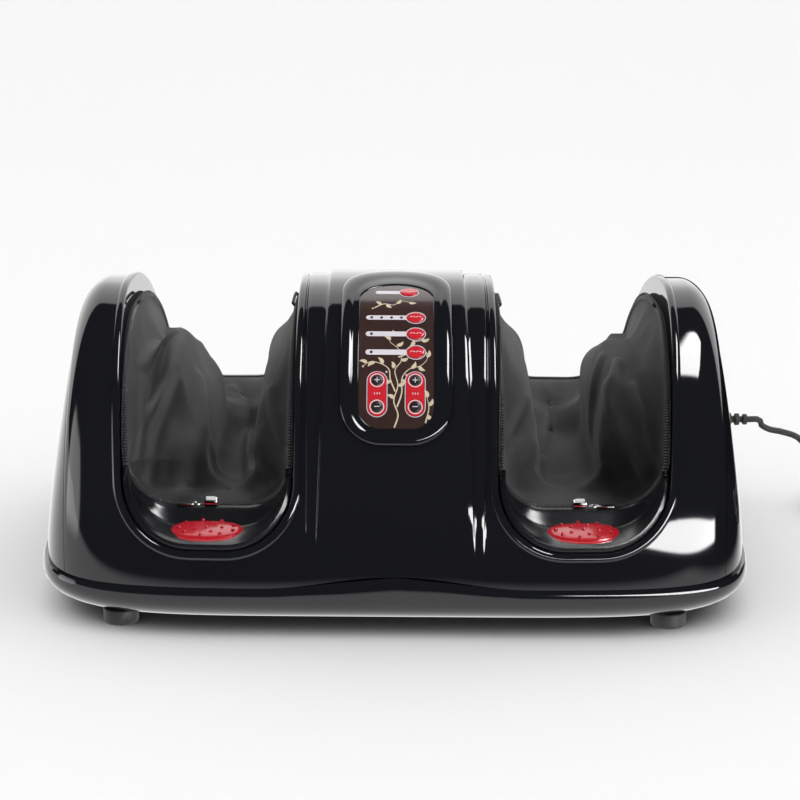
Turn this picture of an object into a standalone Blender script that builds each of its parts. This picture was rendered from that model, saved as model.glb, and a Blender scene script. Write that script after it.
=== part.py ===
"""Foot and leg massager with two open wells, a control console and its mains lead.

Metres, +Z up, the front faces -Y. The origin lies on the floor under the middle of the case.
"""
import bpy
import bmesh
import math
from mathutils import Vector
from mathutils.geometry import convex_hull_2d

for leftover in list(bpy.data.objects):
    bpy.data.objects.remove(leftover, do_unlink=True)

# Shared clearances
GAP = 0.0003
RUNNING_GAP = 0.0006
CUT_OVERRUN = 0.020
HALF_TURN = math.pi
QUARTER_TURN = math.pi / 2

# Case
CASE_HALF_WIDTH = 0.225
CASE_HALF_DEPTH = 0.175
PLAN_POWER_SHARE = 5.5
SEAM_HEIGHT = 0.033
SEAM_WAVE_HEIGHT = 0.008
SEAM_WAVE_HALF_WIDTH = 0.085
ARCH_HEIGHT = 0.1636
ARCH_FRONT_REACH = 0.130
WALL = 0.003
CHEEK_ROOM = 0.013
WING_END = CASE_HALF_WIDTH - CHEEK_ROOM
WING_EDGE_RADIUS = 0.018
CONSOLE_RAISE = 0.0041
CONSOLE_STEP = 0.0018
CONSOLE_BAND_HALF_WIDTH = 0.0466
CONSOLE_STEP_WIDTH = 0.0012
CONSOLE_SHELF_WIDTH = 0.0040
CONSOLE_FADE_START = 0.022
CONSOLE_FADE_LENGTH = 0.025
CHEEK_BULGE = CASE_HALF_WIDTH - WING_END - GAP
CHEEK_POWER_SHARE = 1.15

# Wells
WELL_INNER = 0.0625
WING_WIDTH = 0.0435
WELL_OUTER = WING_END - WING_WIDTH
WELL_CORNER_RADIUS = 0.042
WELL_FRONT_BOTTOM = 0.0554
WELL_BACK_BOTTOM = 0.0838
WELL_LEAN_SHARE = 0.05
LIP_THICKNESS = 0.003
LIP_DEPTH = 0.012
BEAD_WIDTH = 0.005
BEAD_HEIGHT = 0.0014

# Base tray and feet
FOOT_HEIGHT = 0.010
FOOT_RADIUS = 0.011
FOOT_SIDE_ROOM = 0.053
FOOT_END_ROOM = 0.033
FOOT_X = CASE_HALF_WIDTH - FOOT_SIDE_ROOM
FOOT_Y = CASE_HALF_DEPTH - FOOT_END_ROOM
TRAY_FLOOR = 0.003
TRAY_INSET = 0.015

# Toe ledges and pads
LEDGE_THICKNESS = 0.0025
LEDGE_FRONT_SETBACK = 0.0025
LEDGE_DEPTH = 0.038
LEDGE_RISE = 0.0125
LEDGE_BACK_RADIUS = 0.032
LEDGE_SIDE_HEIGHT = 0.0496
LEDGE_TIP_HEIGHT = WELL_FRONT_BOTTOM + LEDGE_SIDE_HEIGHT
PAD_LENGTH = 0.0485
PAD_WIDTH = 0.029
PAD_HEIGHT = 0.0030
PAD_SEAT = 0.0012
NUB_RADIUS = 0.0012
NUB_HEIGHT = 0.0011

# Zips and linings
ZIP_RADIUS = 0.0016
ZIP_INSET = 0.0022
ZIP_DEPTH = 0.0050
LINING_THICKNESS = 0.0018
LINING_INSET = 0.0032
LINING_FLOOR = 0.063
FRONT_RISE_SHARE = 0.16
LINING_CORNER_RADIUS = 0.020
INNER_MOUND = 0.0235
INNER_MOUND_TOP = 0.135
OUTER_MOUND = 0.026
OUTER_MOUND_TOP = 0.152
MOUND_SHELF = 0.013
MOUND_HALF_LENGTH = 0.070
MOUND_FADE = 0.080
FOLD_DEPTH = 0.0018
FOLD_PITCH = 0.047

# Kneading drive
SHAFT_HEIGHT = 0.044
SHAFT_RADIUS = 0.004
SHAFT_END_ROOM = 0.020
SHAFT_HALF_LENGTH = WING_END - SHAFT_END_ROOM
BUSH_RADIUS = 0.011
BUSH_WIDTH = 0.011
BUSH_CLEARANCE = 0.0022
INNER_PLATE_ROOM = 0.009
OUTER_PLATE_ROOM = 0.012
INNER_PLATE_X = WELL_INNER + INNER_PLATE_ROOM
OUTER_PLATE_X = WELL_OUTER - OUTER_PLATE_ROOM
PLATE_THICKNESS = 0.007
PLATE_HUB_RADIUS = 0.018
PLATE_LOBE_RADIUS = 0.020
PLATE_LOBE_SPREAD = 0.036
PLATE_LOBE_HEIGHT = 0.118
NODULE_RADIUS = 0.008
NODULE_HEIGHT = 0.0045
WHEEL_TEETH = 30
WHEEL_PITCH_RADIUS = 0.0188
WHEEL_WIDTH = 0.008
TOOTH_DEPTH = 0.0012
WORM_RADIUS = 0.0046
WORM_TURNS = 3
MESH_GAP = 0.0008
MOTOR_RADIUS = 0.018
MOTOR_LENGTH = 0.058
BRACKET_HALF_SPAN = 0.028
BRACKET_THICKNESS = 0.0025
BRACKET_HALF_WIDTH = 0.019
CHASSIS_END_ROOM = 0.016
CHASSIS_HALF_LENGTH = WING_END - CHASSIS_END_ROOM
CHASSIS_HALF_WIDTH = 0.038
CHASSIS_THICKNESS = 0.002
CHASSIS_LIP = 0.008
GUIDE_GAP = 0.0005
GUIDE_THICKNESS = 0.003
GUIDE_DROP = 0.004
BEARING_WIDTH = 0.008
BEARING_HALF_DEPTH = 0.013

# Console panel, distances along the arch from its top
PANEL_TOP = 0.0165
PANEL_BOTTOM = 0.1389
PANEL_HALF_WIDTH = 0.0245
PANEL_CORNER_RADIUS = 0.010
PANEL_THICKNESS = 0.0024
BEZEL_SIDE = 0.0100
BEZEL_TOP = 0.0315
BEZEL_BOTTOM = 0.009
BEZEL_HEIGHT = 0.0038
KEY_HALF_WIDTH = 0.0054
KEY_HALF_HEIGHT = 0.0044
KEY_TRAVEL = 0.0007
KEY_PROUD = 0.0008
KEY_CLEARANCE = 0.0004
KEY_COLUMN = 0.012
POWER_KEY_COLUMN = 0.0078
POWER_KEY_ROW = 0.0314
UPPER_KEY_ROW = 0.0575
MIDDLE_KEY_ROW = 0.0713
LOWER_KEY_ROW = 0.0855
ROUND_KEY_RADIUS = 0.0034
ROUND_KEY_COLUMN = 0.0119
ROUND_UPPER_ROW = 0.1058
ROUND_LOWER_ROW = 0.1239
CAPSULE_HALF_WIDTH = 0.0064
CAPSULE_END = 0.0064
CAPSULE_HEIGHT = 0.0006
LAMP_RADIUS = 0.0010
LIGHT_WEB = 0.0011
LIGHT_WEB_HALF_WIDTH = 0.0014
STRIP_LENGTH = 0.012
LAMP_COLUMN = -0.0158
LAMP_PITCH = 0.0062
BOARD_THICKNESS = 0.0016
BOARD_DEPTH = 0.0120
BOARD_HALF_WIDTH = 0.021
BOARD_POST_RADIUS = 0.0025

# Mains lead
LEAD_DIAMETER = 0.0045
EXIT_Y = 0.100
EXIT_HEIGHT = 0.0680
RELIEF_LENGTH = 0.029
RELIEF_RADIUS = 0.0050
RELIEF_RIBS = 5
RIB_TAPER_SHARE = 0.07
COIL_MEAN_RADIUS = 0.0297
COIL_X = 0.345
COIL_Y = 0.105
COIL_PITCH = 0.0052
COIL_TURNS = 8
PLUG_LENGTH = 0.036
PLUG_RADIUS = 0.0085
PIN_RADIUS = 0.0024
PIN_LENGTH = 0.019
PIN_SPACING = 0.019
TIE_THICKNESS = 0.0012
TIE_WIDTH = 0.006


# Small helpers
def material(name, color, roughness, metallic=0.0):
    made = bpy.data.materials.new(name)
    made.use_nodes = True
    shader = made.node_tree.nodes["Principled BSDF"]
    shader.inputs["Base Color"].default_value = (*color, 1.0)
    shader.inputs["Roughness"].default_value = roughness
    shader.inputs["Metallic"].default_value = metallic
    return made


GLOSS_BLACK = material("gloss black ABS", (0.012, 0.012, 0.014), 0.08)
SATIN_BLACK = material("satin black plastic", (0.02, 0.02, 0.022), 0.4)
LINING_BLACK = material("black polyester", (0.03, 0.03, 0.034), 0.85)
RUBBER = material("black rubber", (0.025, 0.025, 0.025), 0.8)
OVERLAY_BROWN = material("brown overlay", (0.07, 0.04, 0.038), 0.2)
KEY_RED = material("red key", (0.7, 0.03, 0.06), 0.3)
PAD_RED = material("red gel", (0.85, 0.1, 0.17), 0.15)
STEEL = material("zinc plated steel", (0.6, 0.6, 0.6), 0.35, 1.0)
SILVER = material("nickel", (0.75, 0.75, 0.75), 0.25, 1.0)
NATURAL_NYLON = material("natural nylon", (0.75, 0.74, 0.68), 0.5)
BOARD_GREEN = material("circuit board", (0.05, 0.2, 0.08), 0.5)
LAMP_CLEAR = material("lamp", (0.1, 0.1, 0.1), 0.2)


def link(name, mesh, finish):
    item = bpy.data.objects.new(name, mesh)
    mesh.materials.append(finish)
    bpy.context.collection.objects.link(item)
    return item


def from_bmesh(name, shape, finish, smooth_angle=math.radians(40)):
    bmesh.ops.recalc_face_normals(shape, faces=shape.faces)
    mesh = bpy.data.meshes.new(name)
    shape.to_mesh(mesh)
    shape.free()
    mesh.shade_smooth()
    mesh.set_sharp_from_angle(angle=smooth_angle)
    return link(name, mesh, finish)


def guide(item):
    """Hides a cutter or a guide and shows it as wire."""
    item.hide_render = True
    item.display_type = "WIRE"
    return item


def combine(item, other, operation):
    cut = item.modifiers.new(operation.lower() + "_" + other.name, "BOOLEAN")
    cut.operation = operation
    cut.object = other
    cut.solver = "EXACT"
    guide(other)
    return item


def subtract(item, cutter):
    return combine(item, cutter, "DIFFERENCE")


def loft_into(shape, rings, around_closed=True, along_closed=False):
    """Skins rings of points with quads and closes the ends with one face each."""
    rows = [[shape.verts.new(point) for point in ring] for ring in rings]
    count = len(rows[0])
    pairs = list(zip(rows, rows[1:]))
    if along_closed:
        pairs.append((rows[-1], rows[0]))
    for row, following in pairs:
        for index in range(count if around_closed else count - 1):
            after = (index + 1) % count
            shape.faces.new((row[index], row[after], following[after], following[index]))
    if not along_closed:
        shape.faces.new(rows[0])
        shape.faces.new(rows[-1])


def loft(name, rings, finish=GLOSS_BLACK, along_closed=False):
    shape = bmesh.new()
    loft_into(shape, rings, along_closed=along_closed)
    return from_bmesh(name, shape, finish)


def circle_points(radius, count, start=0.0):
    return [(radius * math.cos(start + HALF_TURN * 2 * i / count),
             radius * math.sin(start + HALF_TURN * 2 * i / count)) for i in range(count)]


def turned(name, profile, finish, count=20, axis="Z", place=(0, 0, 0), bore=0.0):
    """Turns (radius, height) pairs about an axis through place, with an optional bore."""
    def put(radial, height):
        u, v = radial
        spots = {"Z": (u, v, height), "X": (height, u, v), "Y": (v, height, u)}
        return Vector(place) + Vector(spots[axis])
    rings = [[put(p, height) for p in circle_points(radius, count)] for radius, height in profile]
    shape = bmesh.new()
    if bore:
        ends = (profile[-1][1], profile[0][1])
        rings += [[put(p, height) for p in circle_points(bore, count)] for height in ends]
        loft_into(shape, rings, along_closed=True)
    else:
        loft_into(shape, rings)
    return from_bmesh(name, shape, finish)


def block(name, low, high, finish):
    rings = []
    for z in (low[2], high[2]):
        rings.append([(low[0], low[1], z), (high[0], low[1], z), (high[0], high[1], z),
                      (low[0], high[1], z)])
    return loft(name, rings, finish)


def extrude_outline(name, outline, low, high, finish, axis="X"):
    """Extrudes a flat outline of (u, v) pairs along an axis."""
    def put(u, v, along):
        return {"X": (along, u, v), "Y": (u, along, v), "Z": (u, v, along)}[axis]
    return loft(name, [[put(u, v, low) for u, v in outline], [put(u, v, high) for u, v in outline]],
                finish)


def ease(value, start, length):
    """Rises smoothly from nought to one over the length after start."""
    share = min(1.0, max(0.0, (value - start) / length))
    return share * share * (3 - 2 * share)


def sides(name):
    """Gives the side's name and the sign of its X."""
    return {"left": -1, "right": 1}[name]


# Side arch of the case: two quarter ellipses that meet at a crest ahead of the middle
ARCH_CREST = ARCH_FRONT_REACH - CASE_HALF_DEPTH
ARCH_BACK_REACH = CASE_HALF_DEPTH - ARCH_CREST


def arch_at_angle(angle, grow=0.0):
    """Place on the arch at an angle from the front seam, moved out by grow along its normal."""
    reach = ARCH_FRONT_REACH if angle <= QUARTER_TURN else ARCH_BACK_REACH
    c, s = math.cos(angle), math.sin(angle)
    normal = Vector((-c / reach, s / ARCH_HEIGHT)).normalized()
    return ARCH_CREST - reach * c + grow * normal.x, SEAM_HEIGHT + ARCH_HEIGHT * s + grow * normal.y


def arch_at_height(z, grow=0.0, back=False):
    """Depth of the arch's front or back at a height."""
    low, high = 0.0, QUARTER_TURN
    for _ in range(40):
        middle = (low + high) / 2
        if arch_at_angle(HALF_TURN - middle if back else middle, grow)[1] < z:
            low = middle
        else:
            high = middle
    return arch_at_angle(HALF_TURN - low if back else low, grow)[0]


def console_table():
    """Angles and lengths along the raised console, from behind its crest to the front seam."""
    steps = 400
    angles = [HALF_TURN * (0.75 - 0.75 * i / steps) for i in range(steps + 1)]
    places = [Vector(arch_at_angle(angle, CONSOLE_RAISE)) for angle in angles]
    lengths = [0.0]
    for a, b in zip(places, places[1:]):
        lengths.append(lengths[-1] + (b - a).length)
    crest = min(range(steps + 1), key=lambda i: abs(angles[i] - QUARTER_TURN))
    return angles, [length - lengths[crest] for length in lengths]


CONSOLE_ANGLES, CONSOLE_LENGTHS = console_table()


def arch_from_top(distance, lift=0.0):
    """Place on the console at a distance down the front from its crest."""
    index = 0
    while index < len(CONSOLE_LENGTHS) - 2 and CONSOLE_LENGTHS[index + 1] < distance:
        index += 1
    span = CONSOLE_LENGTHS[index + 1] - CONSOLE_LENGTHS[index]
    share = (distance - CONSOLE_LENGTHS[index]) / span
    angle = CONSOLE_ANGLES[index] + (CONSOLE_ANGLES[index + 1] - CONSOLE_ANGLES[index]) * share
    return arch_at_angle(angle, CONSOLE_RAISE + lift)


ARCH_FRONT_STEPS = 11
ARCH_BACK_STEPS = 7


def plan_half_depth(x):
    """Half depth of the case at a distance from its middle."""
    share = min(1.0, abs(x) / CASE_HALF_WIDTH)
    return CASE_HALF_DEPTH * (1 - share ** PLAN_POWER_SHARE) ** (1 / PLAN_POWER_SHARE)


def plan_share(x):
    return plan_half_depth(x) / CASE_HALF_DEPTH


def wing_height(x, grow=0.0):
    """Height of the arch over the seam, rounded at the wings' outer edges."""
    start = WING_END + grow - WING_EDGE_RADIUS
    over = min(1.0, max(0.0, (abs(x) - start) / WING_EDGE_RADIUS))
    return ARCH_HEIGHT - WING_EDGE_RADIUS * (1 - math.sqrt(1 - over * over))


def seam_height(x, y):
    """The seam rises in a soft wave at the middle of the front."""
    if y > 0 or abs(x) > SEAM_WAVE_HALF_WIDTH:
        return SEAM_HEIGHT
    return SEAM_HEIGHT + SEAM_WAVE_HEIGHT * math.cos(QUARTER_TURN * x / SEAM_WAVE_HALF_WIDTH) ** 2


def console_raise(x):
    across = abs(x) - CONSOLE_BAND_HALF_WIDTH
    if across <= 0:
        return CONSOLE_RAISE
    if across <= CONSOLE_STEP_WIDTH + CONSOLE_SHELF_WIDTH:
        return CONSOLE_STEP
    return 0.0


def drum_ring(x, grow, low, raised=True):
    """One section of the drum: the arch drawn in to the plan and the wing edge."""
    height_share = wing_height(x, grow) / ARCH_HEIGHT
    ring = []
    angles = [QUARTER_TURN * i / ARCH_FRONT_STEPS for i in range(ARCH_FRONT_STEPS)]
    angles += [QUARTER_TURN + QUARTER_TURN * i / ARCH_BACK_STEPS for i in range(ARCH_BACK_STEPS + 1)]
    for angle in angles:
        _, z = arch_at_angle(angle)
        lift = console_raise(x) if raised else 0.0
        lift *= ease(z - SEAM_HEIGHT, CONSOLE_FADE_START, CONSOLE_FADE_LENGTH)
        y, z = arch_at_angle(angle, grow + lift)
        ring.append((x, y * plan_share(x), SEAM_HEIGHT + (z - SEAM_HEIGHT) * height_share))
    if low is None:
        ring[0] = (x, ring[0][1], seam_height(x, ring[0][1]))
        return ring
    return [(x, ring[0][1], low)] + ring + [(x, ring[-1][1], low)]


def mirrored_stations(half):
    return [-x for x in reversed(half) if x > 0] + list(half)


WING_SHARES = (0.2, 0.4, 0.56, 0.7, 0.82, 0.92)
EDGE_SHARES = (0.0, 0.35, 0.65, 0.9, 1.0)
PLAIN_SHARES = (0.3, 0.5, 0.66, 0.79, 0.89, 0.96, 1.0)


def drum_stations():
    step = CONSOLE_BAND_HALF_WIDTH
    shelf = step + CONSOLE_STEP_WIDTH + CONSOLE_SHELF_WIDTH
    half = [0.0, step * 0.5, step, step + CONSOLE_STEP_WIDTH / 4, shelf, shelf + CONSOLE_STEP_WIDTH / 4]
    reach = WING_END - WING_EDGE_RADIUS - shelf
    half += [shelf + reach * share for share in WING_SHARES]
    edge = WING_EDGE_RADIUS
    half += [WING_END - edge * (1 - math.sin(QUARTER_TURN * share)) for share in EDGE_SHARES]
    return mirrored_stations(half)


def plain_stations(end):
    return mirrored_stations([0.0] + [end * share for share in PLAIN_SHARES])


def well_outline(bottom, grow, top):
    """The well's U outline as (x, z) pairs, from the console side down and up to the wing side."""
    radius = WELL_CORNER_RADIUS + grow
    centre_z = bottom + WELL_CORNER_RADIUS
    inner_x, outer_x = WELL_INNER + WELL_CORNER_RADIUS, WELL_OUTER - WELL_CORNER_RADIUS
    points = [(WELL_INNER - grow, top)]
    steps = 6
    for i in range(steps + 1):
        angle = HALF_TURN + QUARTER_TURN * i / steps
        points.append((inner_x + radius * math.cos(angle), centre_z + radius * math.sin(angle)))
    for i in range(steps + 1):
        angle = HALF_TURN + QUARTER_TURN + QUARTER_TURN * i / steps
        points.append((outer_x + radius * math.cos(angle), centre_z + radius * math.sin(angle)))
    points.append((WELL_OUTER + grow + WELL_LEAN_SHARE * (top - centre_z), top))
    return points


def well_bottom(y):
    share = (y + CASE_HALF_DEPTH) / (2 * CASE_HALF_DEPTH)
    return WELL_FRONT_BOTTOM + (WELL_BACK_BOTTOM - WELL_FRONT_BOTTOM) * share


def well_channels(name, grow):
    """Both wells as straight channels through the drum."""
    shape = bmesh.new()
    reach = CASE_HALF_DEPTH + 2 * CUT_OVERRUN
    top = SEAM_HEIGHT + ARCH_HEIGHT + 2 * CUT_OVERRUN
    for sign in (-1, 1):
        rings = []
        for y in (-reach, reach):
            rings.append([(sign * x, y, z) for x, z in well_outline(well_bottom(y), grow, top)])
        loft_into(shape, rings)
    return from_bmesh(name, shape, GLOSS_BLACK)


# Upper shell: the drum, its well beads and turned-in lips, hollow below
def exit_cutter(name):
    reach = CUT_OVERRUN
    return turned(name, [(RELIEF_RADIUS + GAP, WING_END - reach),
                         (RELIEF_RADIUS + GAP, WING_END + reach)],
                  GLOSS_BLACK, 12, "X", (0, EXIT_Y, EXIT_HEIGHT))


def make_upper_shell():
    shell = loft("upper_shell", [drum_ring(x, 0.0, None) for x in drum_stations()])
    beads = well_channels("bead_guide", BEAD_WIDTH)
    combine(beads, loft("bead_drum_guide", [drum_ring(x, BEAD_HEIGHT, None, False) for x in
                                            plain_stations(WING_END - WALL)]), "INTERSECT")
    combine(shell, beads, "UNION")
    subtract(shell, well_channels("well_cutter", 0.0))
    low = SEAM_HEIGHT - CUT_OVERRUN
    hollow = loft("hollow_cutter", [drum_ring(x, -WALL, low,
                                              False) for x in plain_stations(WING_END - WALL)])
    subtract(hollow, well_channels("lip_guide", LIP_THICKNESS))
    subtract(shell, hollow)
    subtract(shell, loft("core_cutter", [drum_ring(x, -LIP_DEPTH, low, False)
                                         for x in plain_stations(WING_END - LIP_DEPTH)]))
    return subtract(shell, exit_cutter("shell_exit_cutter"))


# Bulging side panels on the wings
CHEEK_SHARES = (0.0, 0.12, 0.3, 0.5, 0.7, 0.85, 0.94)


def make_side_panel(side):
    sign = sides(side)
    rim = drum_ring(WING_END, 0.0, None, False)
    rings = []
    for bulge_share in CHEEK_SHARES:
        x = WING_END + GAP + CHEEK_BULGE * bulge_share
        depth_share = plan_share(x) / plan_share(WING_END)
        height_share = (1 - bulge_share ** CHEEK_POWER_SHARE) ** (1 / CHEEK_POWER_SHARE)
        rings.append([(sign * x, y * depth_share, SEAM_HEIGHT + (z - SEAM_HEIGHT) * height_share) for _,
                      y, z in rim])
    panel = loft("side_panel_" + side, rings)
    if side == "right":
        subtract(panel, exit_cutter("panel_exit_cutter"))
    return panel


# Base tray: a shallow dish with tapered sides
TRAY_INSET_SHARES = ((0.0, 1.0), (0.30, 0.10), (0.65, 0.38), (0.90, 0.75), (1.0, 1.0))


def plan_outline(inset):
    """Plan outline of the case drawn in by an inset, with the drum's own stations at the front."""
    front = [(x, -plan_half_depth(x)) for x in drum_stations() if abs(x) < WING_END - WING_EDGE_RADIUS]
    start = -math.acos((front[-1][0] / CASE_HALF_WIDTH) ** (PLAN_POWER_SHARE / 2))
    around = []
    power = 2 / PLAN_POWER_SHARE
    count = 26
    for i in range(1, count):
        angle = start + (HALF_TURN - 2 * start) * i / count
        c, s = math.cos(angle), math.sin(angle)
        around.append((CASE_HALF_WIDTH * math.copysign(abs(c) ** power, c),
                       CASE_HALF_DEPTH * math.copysign(abs(s) ** power, s)))
    width_share = (CASE_HALF_WIDTH - inset) / CASE_HALF_WIDTH
    depth_share = (CASE_HALF_DEPTH - inset) / CASE_HALF_DEPTH
    return [(x * width_share, y * depth_share) for x, y in front + around]


def make_base_tray():
    depth = SEAM_HEIGHT - FOOT_HEIGHT
    outer = []
    for down_share, inset_share in reversed(TRAY_INSET_SHARES):
        inset = TRAY_INSET * inset_share if down_share else 0.0
        ring = []
        for x, y in plan_outline(inset):
            top = seam_height(x, y) - GAP if not down_share else SEAM_HEIGHT - depth * down_share
            ring.append((x, y, top))
        outer.append(ring)
    inner = []
    for down_share, inset in ((0.0, WALL), (0.5, WALL + TRAY_INSET * 0.25)):
        ring = []
        for x, y in plan_outline(inset):
            top = seam_height(x, y) - GAP if not down_share else SEAM_HEIGHT - depth * down_share
            ring.append((x, y, top))
        inner.append(ring)
    inner.append([(x, y, FOOT_HEIGHT + TRAY_FLOOR) for x, y in plan_outline(WALL + TRAY_INSET)])
    return loft("base_tray", outer + inner)


def make_feet():
    for row, y in (("front", -FOOT_Y), ("rear", FOOT_Y)):
        for side in ("left", "right"):
            taper = FOOT_HEIGHT * 0.15
            profile = [(FOOT_RADIUS - taper, 0.0), (FOOT_RADIUS, taper),
                       (FOOT_RADIUS, FOOT_HEIGHT - GAP)]
            turned("foot_" + row + "_" + side, profile, RUBBER, 14, "Z", (sides(side) * FOOT_X, y, 0.0))


# Toe ledges: a scoop inside the front of each well
def in_well(side, x, y, z):
    """Puts a place of the right-hand well in its side's well, drawn in with the plan."""
    return sides(side) * x, y * plan_share(x), z


LEDGE_FRONT_Y = arch_at_height(WELL_FRONT_BOTTOM) + LEDGE_FRONT_SETBACK
LEDGE_BACK_Y = LEDGE_FRONT_Y + LEDGE_DEPTH
LEDGE_BOTTOM = well_bottom(LEDGE_FRONT_Y) + GAP * 2
LEDGE_BACK_TOP = LEDGE_BOTTOM + LEDGE_RISE + LEDGE_THICKNESS
LEDGE_SIDE_GAP = 2 * GAP
CUT_START_Z = LEDGE_BACK_TOP + LEDGE_THICKNESS / 2
CUT_END_Y = arch_at_height(LEDGE_TIP_HEIGHT) + ZIP_DEPTH - ZIP_RADIUS
CUT_SLOPE_SHARE = (CUT_END_Y - LEDGE_BACK_Y) / (LEDGE_TIP_HEIGHT - CUT_START_Z)


def u_points(inset, bottom, radius, top, steps=6):
    """A plain U outline from the console side to the wing side of the well."""
    left, right = WELL_INNER + inset, WELL_OUTER - inset
    points = [(left, top)]
    for i in range(steps + 1):
        angle = HALF_TURN + QUARTER_TURN * i / steps
        points.append((left + radius + radius * math.cos(angle),
                       bottom + radius + radius * math.sin(angle)))
    for i in range(steps + 1):
        angle = HALF_TURN + QUARTER_TURN + QUARTER_TURN * i / steps
        points.append((right - radius + radius * math.cos(angle),
                       bottom + radius + radius * math.sin(angle)))
    points.append((right, top))
    return points


def ledge_edge_y(z):
    """Where the ledge ends at a height: level with its back edge, then forward as it rises."""
    return LEDGE_BACK_Y + CUT_SLOPE_SHARE * max(0.0, z - CUT_START_Z)


def make_ledge(side):
    top = LEDGE_TIP_HEIGHT + LEDGE_RISE
    rings = []
    for share in (0.0, 0.2, 0.45, 0.72, 1.0):
        bottom = LEDGE_BOTTOM + LEDGE_RISE * share
        radius = WELL_CORNER_RADIUS - LEDGE_SIDE_GAP + (LEDGE_BACK_RADIUS - WELL_CORNER_RADIUS) * share
        under = u_points(LEDGE_SIDE_GAP, bottom, radius, top)
        upper = u_points(LEDGE_SIDE_GAP + LEDGE_THICKNESS, bottom + LEDGE_THICKNESS,
                         radius - LEDGE_THICKNESS, top)
        ring = []
        for x, z in under + upper[::-1]:
            y = (arch_at_height(z) + LEDGE_FRONT_SETBACK) * (1 - share) + LEDGE_BACK_Y * share
            ring.append(in_well(side, x, y, z))
        rings.append(ring)
    ledge = loft("toe_ledge_" + side, rings)
    far = -CASE_HALF_DEPTH - CUT_OVERRUN
    low_y = LEDGE_BACK_Y - 2 * CUT_SLOPE_SHARE * CUT_OVERRUN
    high = top + CUT_OVERRUN
    outline = [(low_y, CUT_START_Z - 2 * CUT_OVERRUN), (low_y, high), (far, high),
               (far, LEDGE_TIP_HEIGHT),
               (CUT_END_Y, LEDGE_TIP_HEIGHT)]
    width = WELL_OUTER - WELL_INNER
    stations = [WELL_INNER - CUT_OVERRUN] + [WELL_INNER + width * share for share in (0.0, 0.4, 0.7,
                                                                                      0.9, 1.0)]
    cutter = loft("ledge_cutter_" + side,
                  [[in_well(side, x, y, z) for y,
                    z in outline] for x in stations + [WELL_OUTER + ZIP_DEPTH]])
    return subtract(ledge, cutter)


# Oval nubbed pads on the ledges
NUB_RING_SHARES = ((0.38, 4, 0.4), (0.76, 8, 0.0))


def make_pad(side):
    sign = sides(side)
    share = 0.48
    y = LEDGE_FRONT_Y + LEDGE_DEPTH * share
    z = LEDGE_BOTTOM + LEDGE_RISE * share + LEDGE_THICKNESS + PAD_SEAT
    slope = math.atan2(LEDGE_RISE, LEDGE_DEPTH)
    middle = (WELL_INNER + WELL_OUTER) / 2
    rings = []
    for size_share, height_share in ((0.98, 0.0), (1.0, 0.4), (0.94, 0.8), (0.82, 1.0)):
        ring = []
        for u, v in circle_points(1, 20):
            along = v * PAD_WIDTH / 2 * size_share
            across = u * PAD_LENGTH / 2 * size_share
            ring.append((across, along, PAD_HEIGHT * height_share))
        rings.append(ring)
    shape = bmesh.new()
    loft_into(shape, rings)
    pad = from_bmesh("heat_pad_" + side, shape, PAD_RED)
    nubs = bmesh.new()
    for ring_share, count, turn in NUB_RING_SHARES:
        for i in range(count):
            angle = turn + 2 * HALF_TURN * i / count
            centre = Vector((math.cos(angle) * PAD_LENGTH / 2 * ring_share,
                             math.sin(angle) * PAD_WIDTH / 2 * ring_share, PAD_HEIGHT))
            low = [centre + Vector((u, v, -NUB_HEIGHT)) for u, v in circle_points(NUB_RADIUS, 5)]
            high = [centre + Vector((u * 0.55, v * 0.55, NUB_HEIGHT)) for u,
                    v in circle_points(NUB_RADIUS, 5)]
            loft_into(nubs, [low, high])
    nub_group = from_bmesh("nubs_" + side, nubs, PAD_RED)
    for item in (pad, nub_group):
        item.location = (sign * middle, y, z)
        item.rotation_euler = (slope, 0.0, 0.0)
    return combine(pad, nub_group, "UNION")


# Zips run round each well just inside the lip
ARC_FINE_STEPS = 180


def arc_span(depth, past_y, past_z):
    """Angles between which the arch at a depth lies behind past_y and, at the back, over past_z."""
    angles = [HALF_TURN * i / ARC_FINE_STEPS for i in range(ARC_FINE_STEPS + 1)]
    first = [a for a in angles if arch_at_angle(a, -depth)[0] > past_y][0]
    last = [a for a in angles if a > QUARTER_TURN and arch_at_angle(a, -depth)[1] > past_z][-1]
    return first, last


def rim_path():
    """Closed loop of places just inside the right-hand well's lip."""
    front = [(x, ledge_edge_y(z) + ZIP_STANDOFF, z)
             for x, z in u_points(ZIP_INSET, LEDGE_BACK_TOP, LEDGE_BACK_RADIUS - ZIP_INSET,
                                  LEDGE_TIP_HEIGHT, 4)]
    back_bottom = well_bottom(CASE_HALF_DEPTH) + ZIP_INSET
    rear_top = back_bottom + WELL_CORNER_RADIUS
    rear = [(x, arch_at_height(z, -ZIP_DEPTH, True), z)
            for x, z in u_points(ZIP_INSET, back_bottom, WELL_CORNER_RADIUS - ZIP_INSET, rear_top, 3)]
    first, last = arc_span(ZIP_DEPTH, front[0][1] + ZIP_DEPTH, rear_top + ZIP_DEPTH)
    count = 12
    arc = [arch_at_angle(first + (last - first) * i / (count - 1), -ZIP_DEPTH) for i in range(count)]
    outer_arc = [(WELL_OUTER - ZIP_INSET + well_lean(y, z), y, z) for y, z in arc]
    inner_arc = [(WELL_INNER + ZIP_INSET, y, z) for y, z in arc]
    return front + outer_arc + rear[::-1] + inner_arc[::-1]


def well_lean(y, z):
    """How far the well's outer side leans out at a place."""
    return WELL_LEAN_SHARE * max(0.0, z - well_bottom(y) - WELL_CORNER_RADIUS)


ZIP_STANDOFF = 1.8 * ZIP_RADIUS


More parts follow.
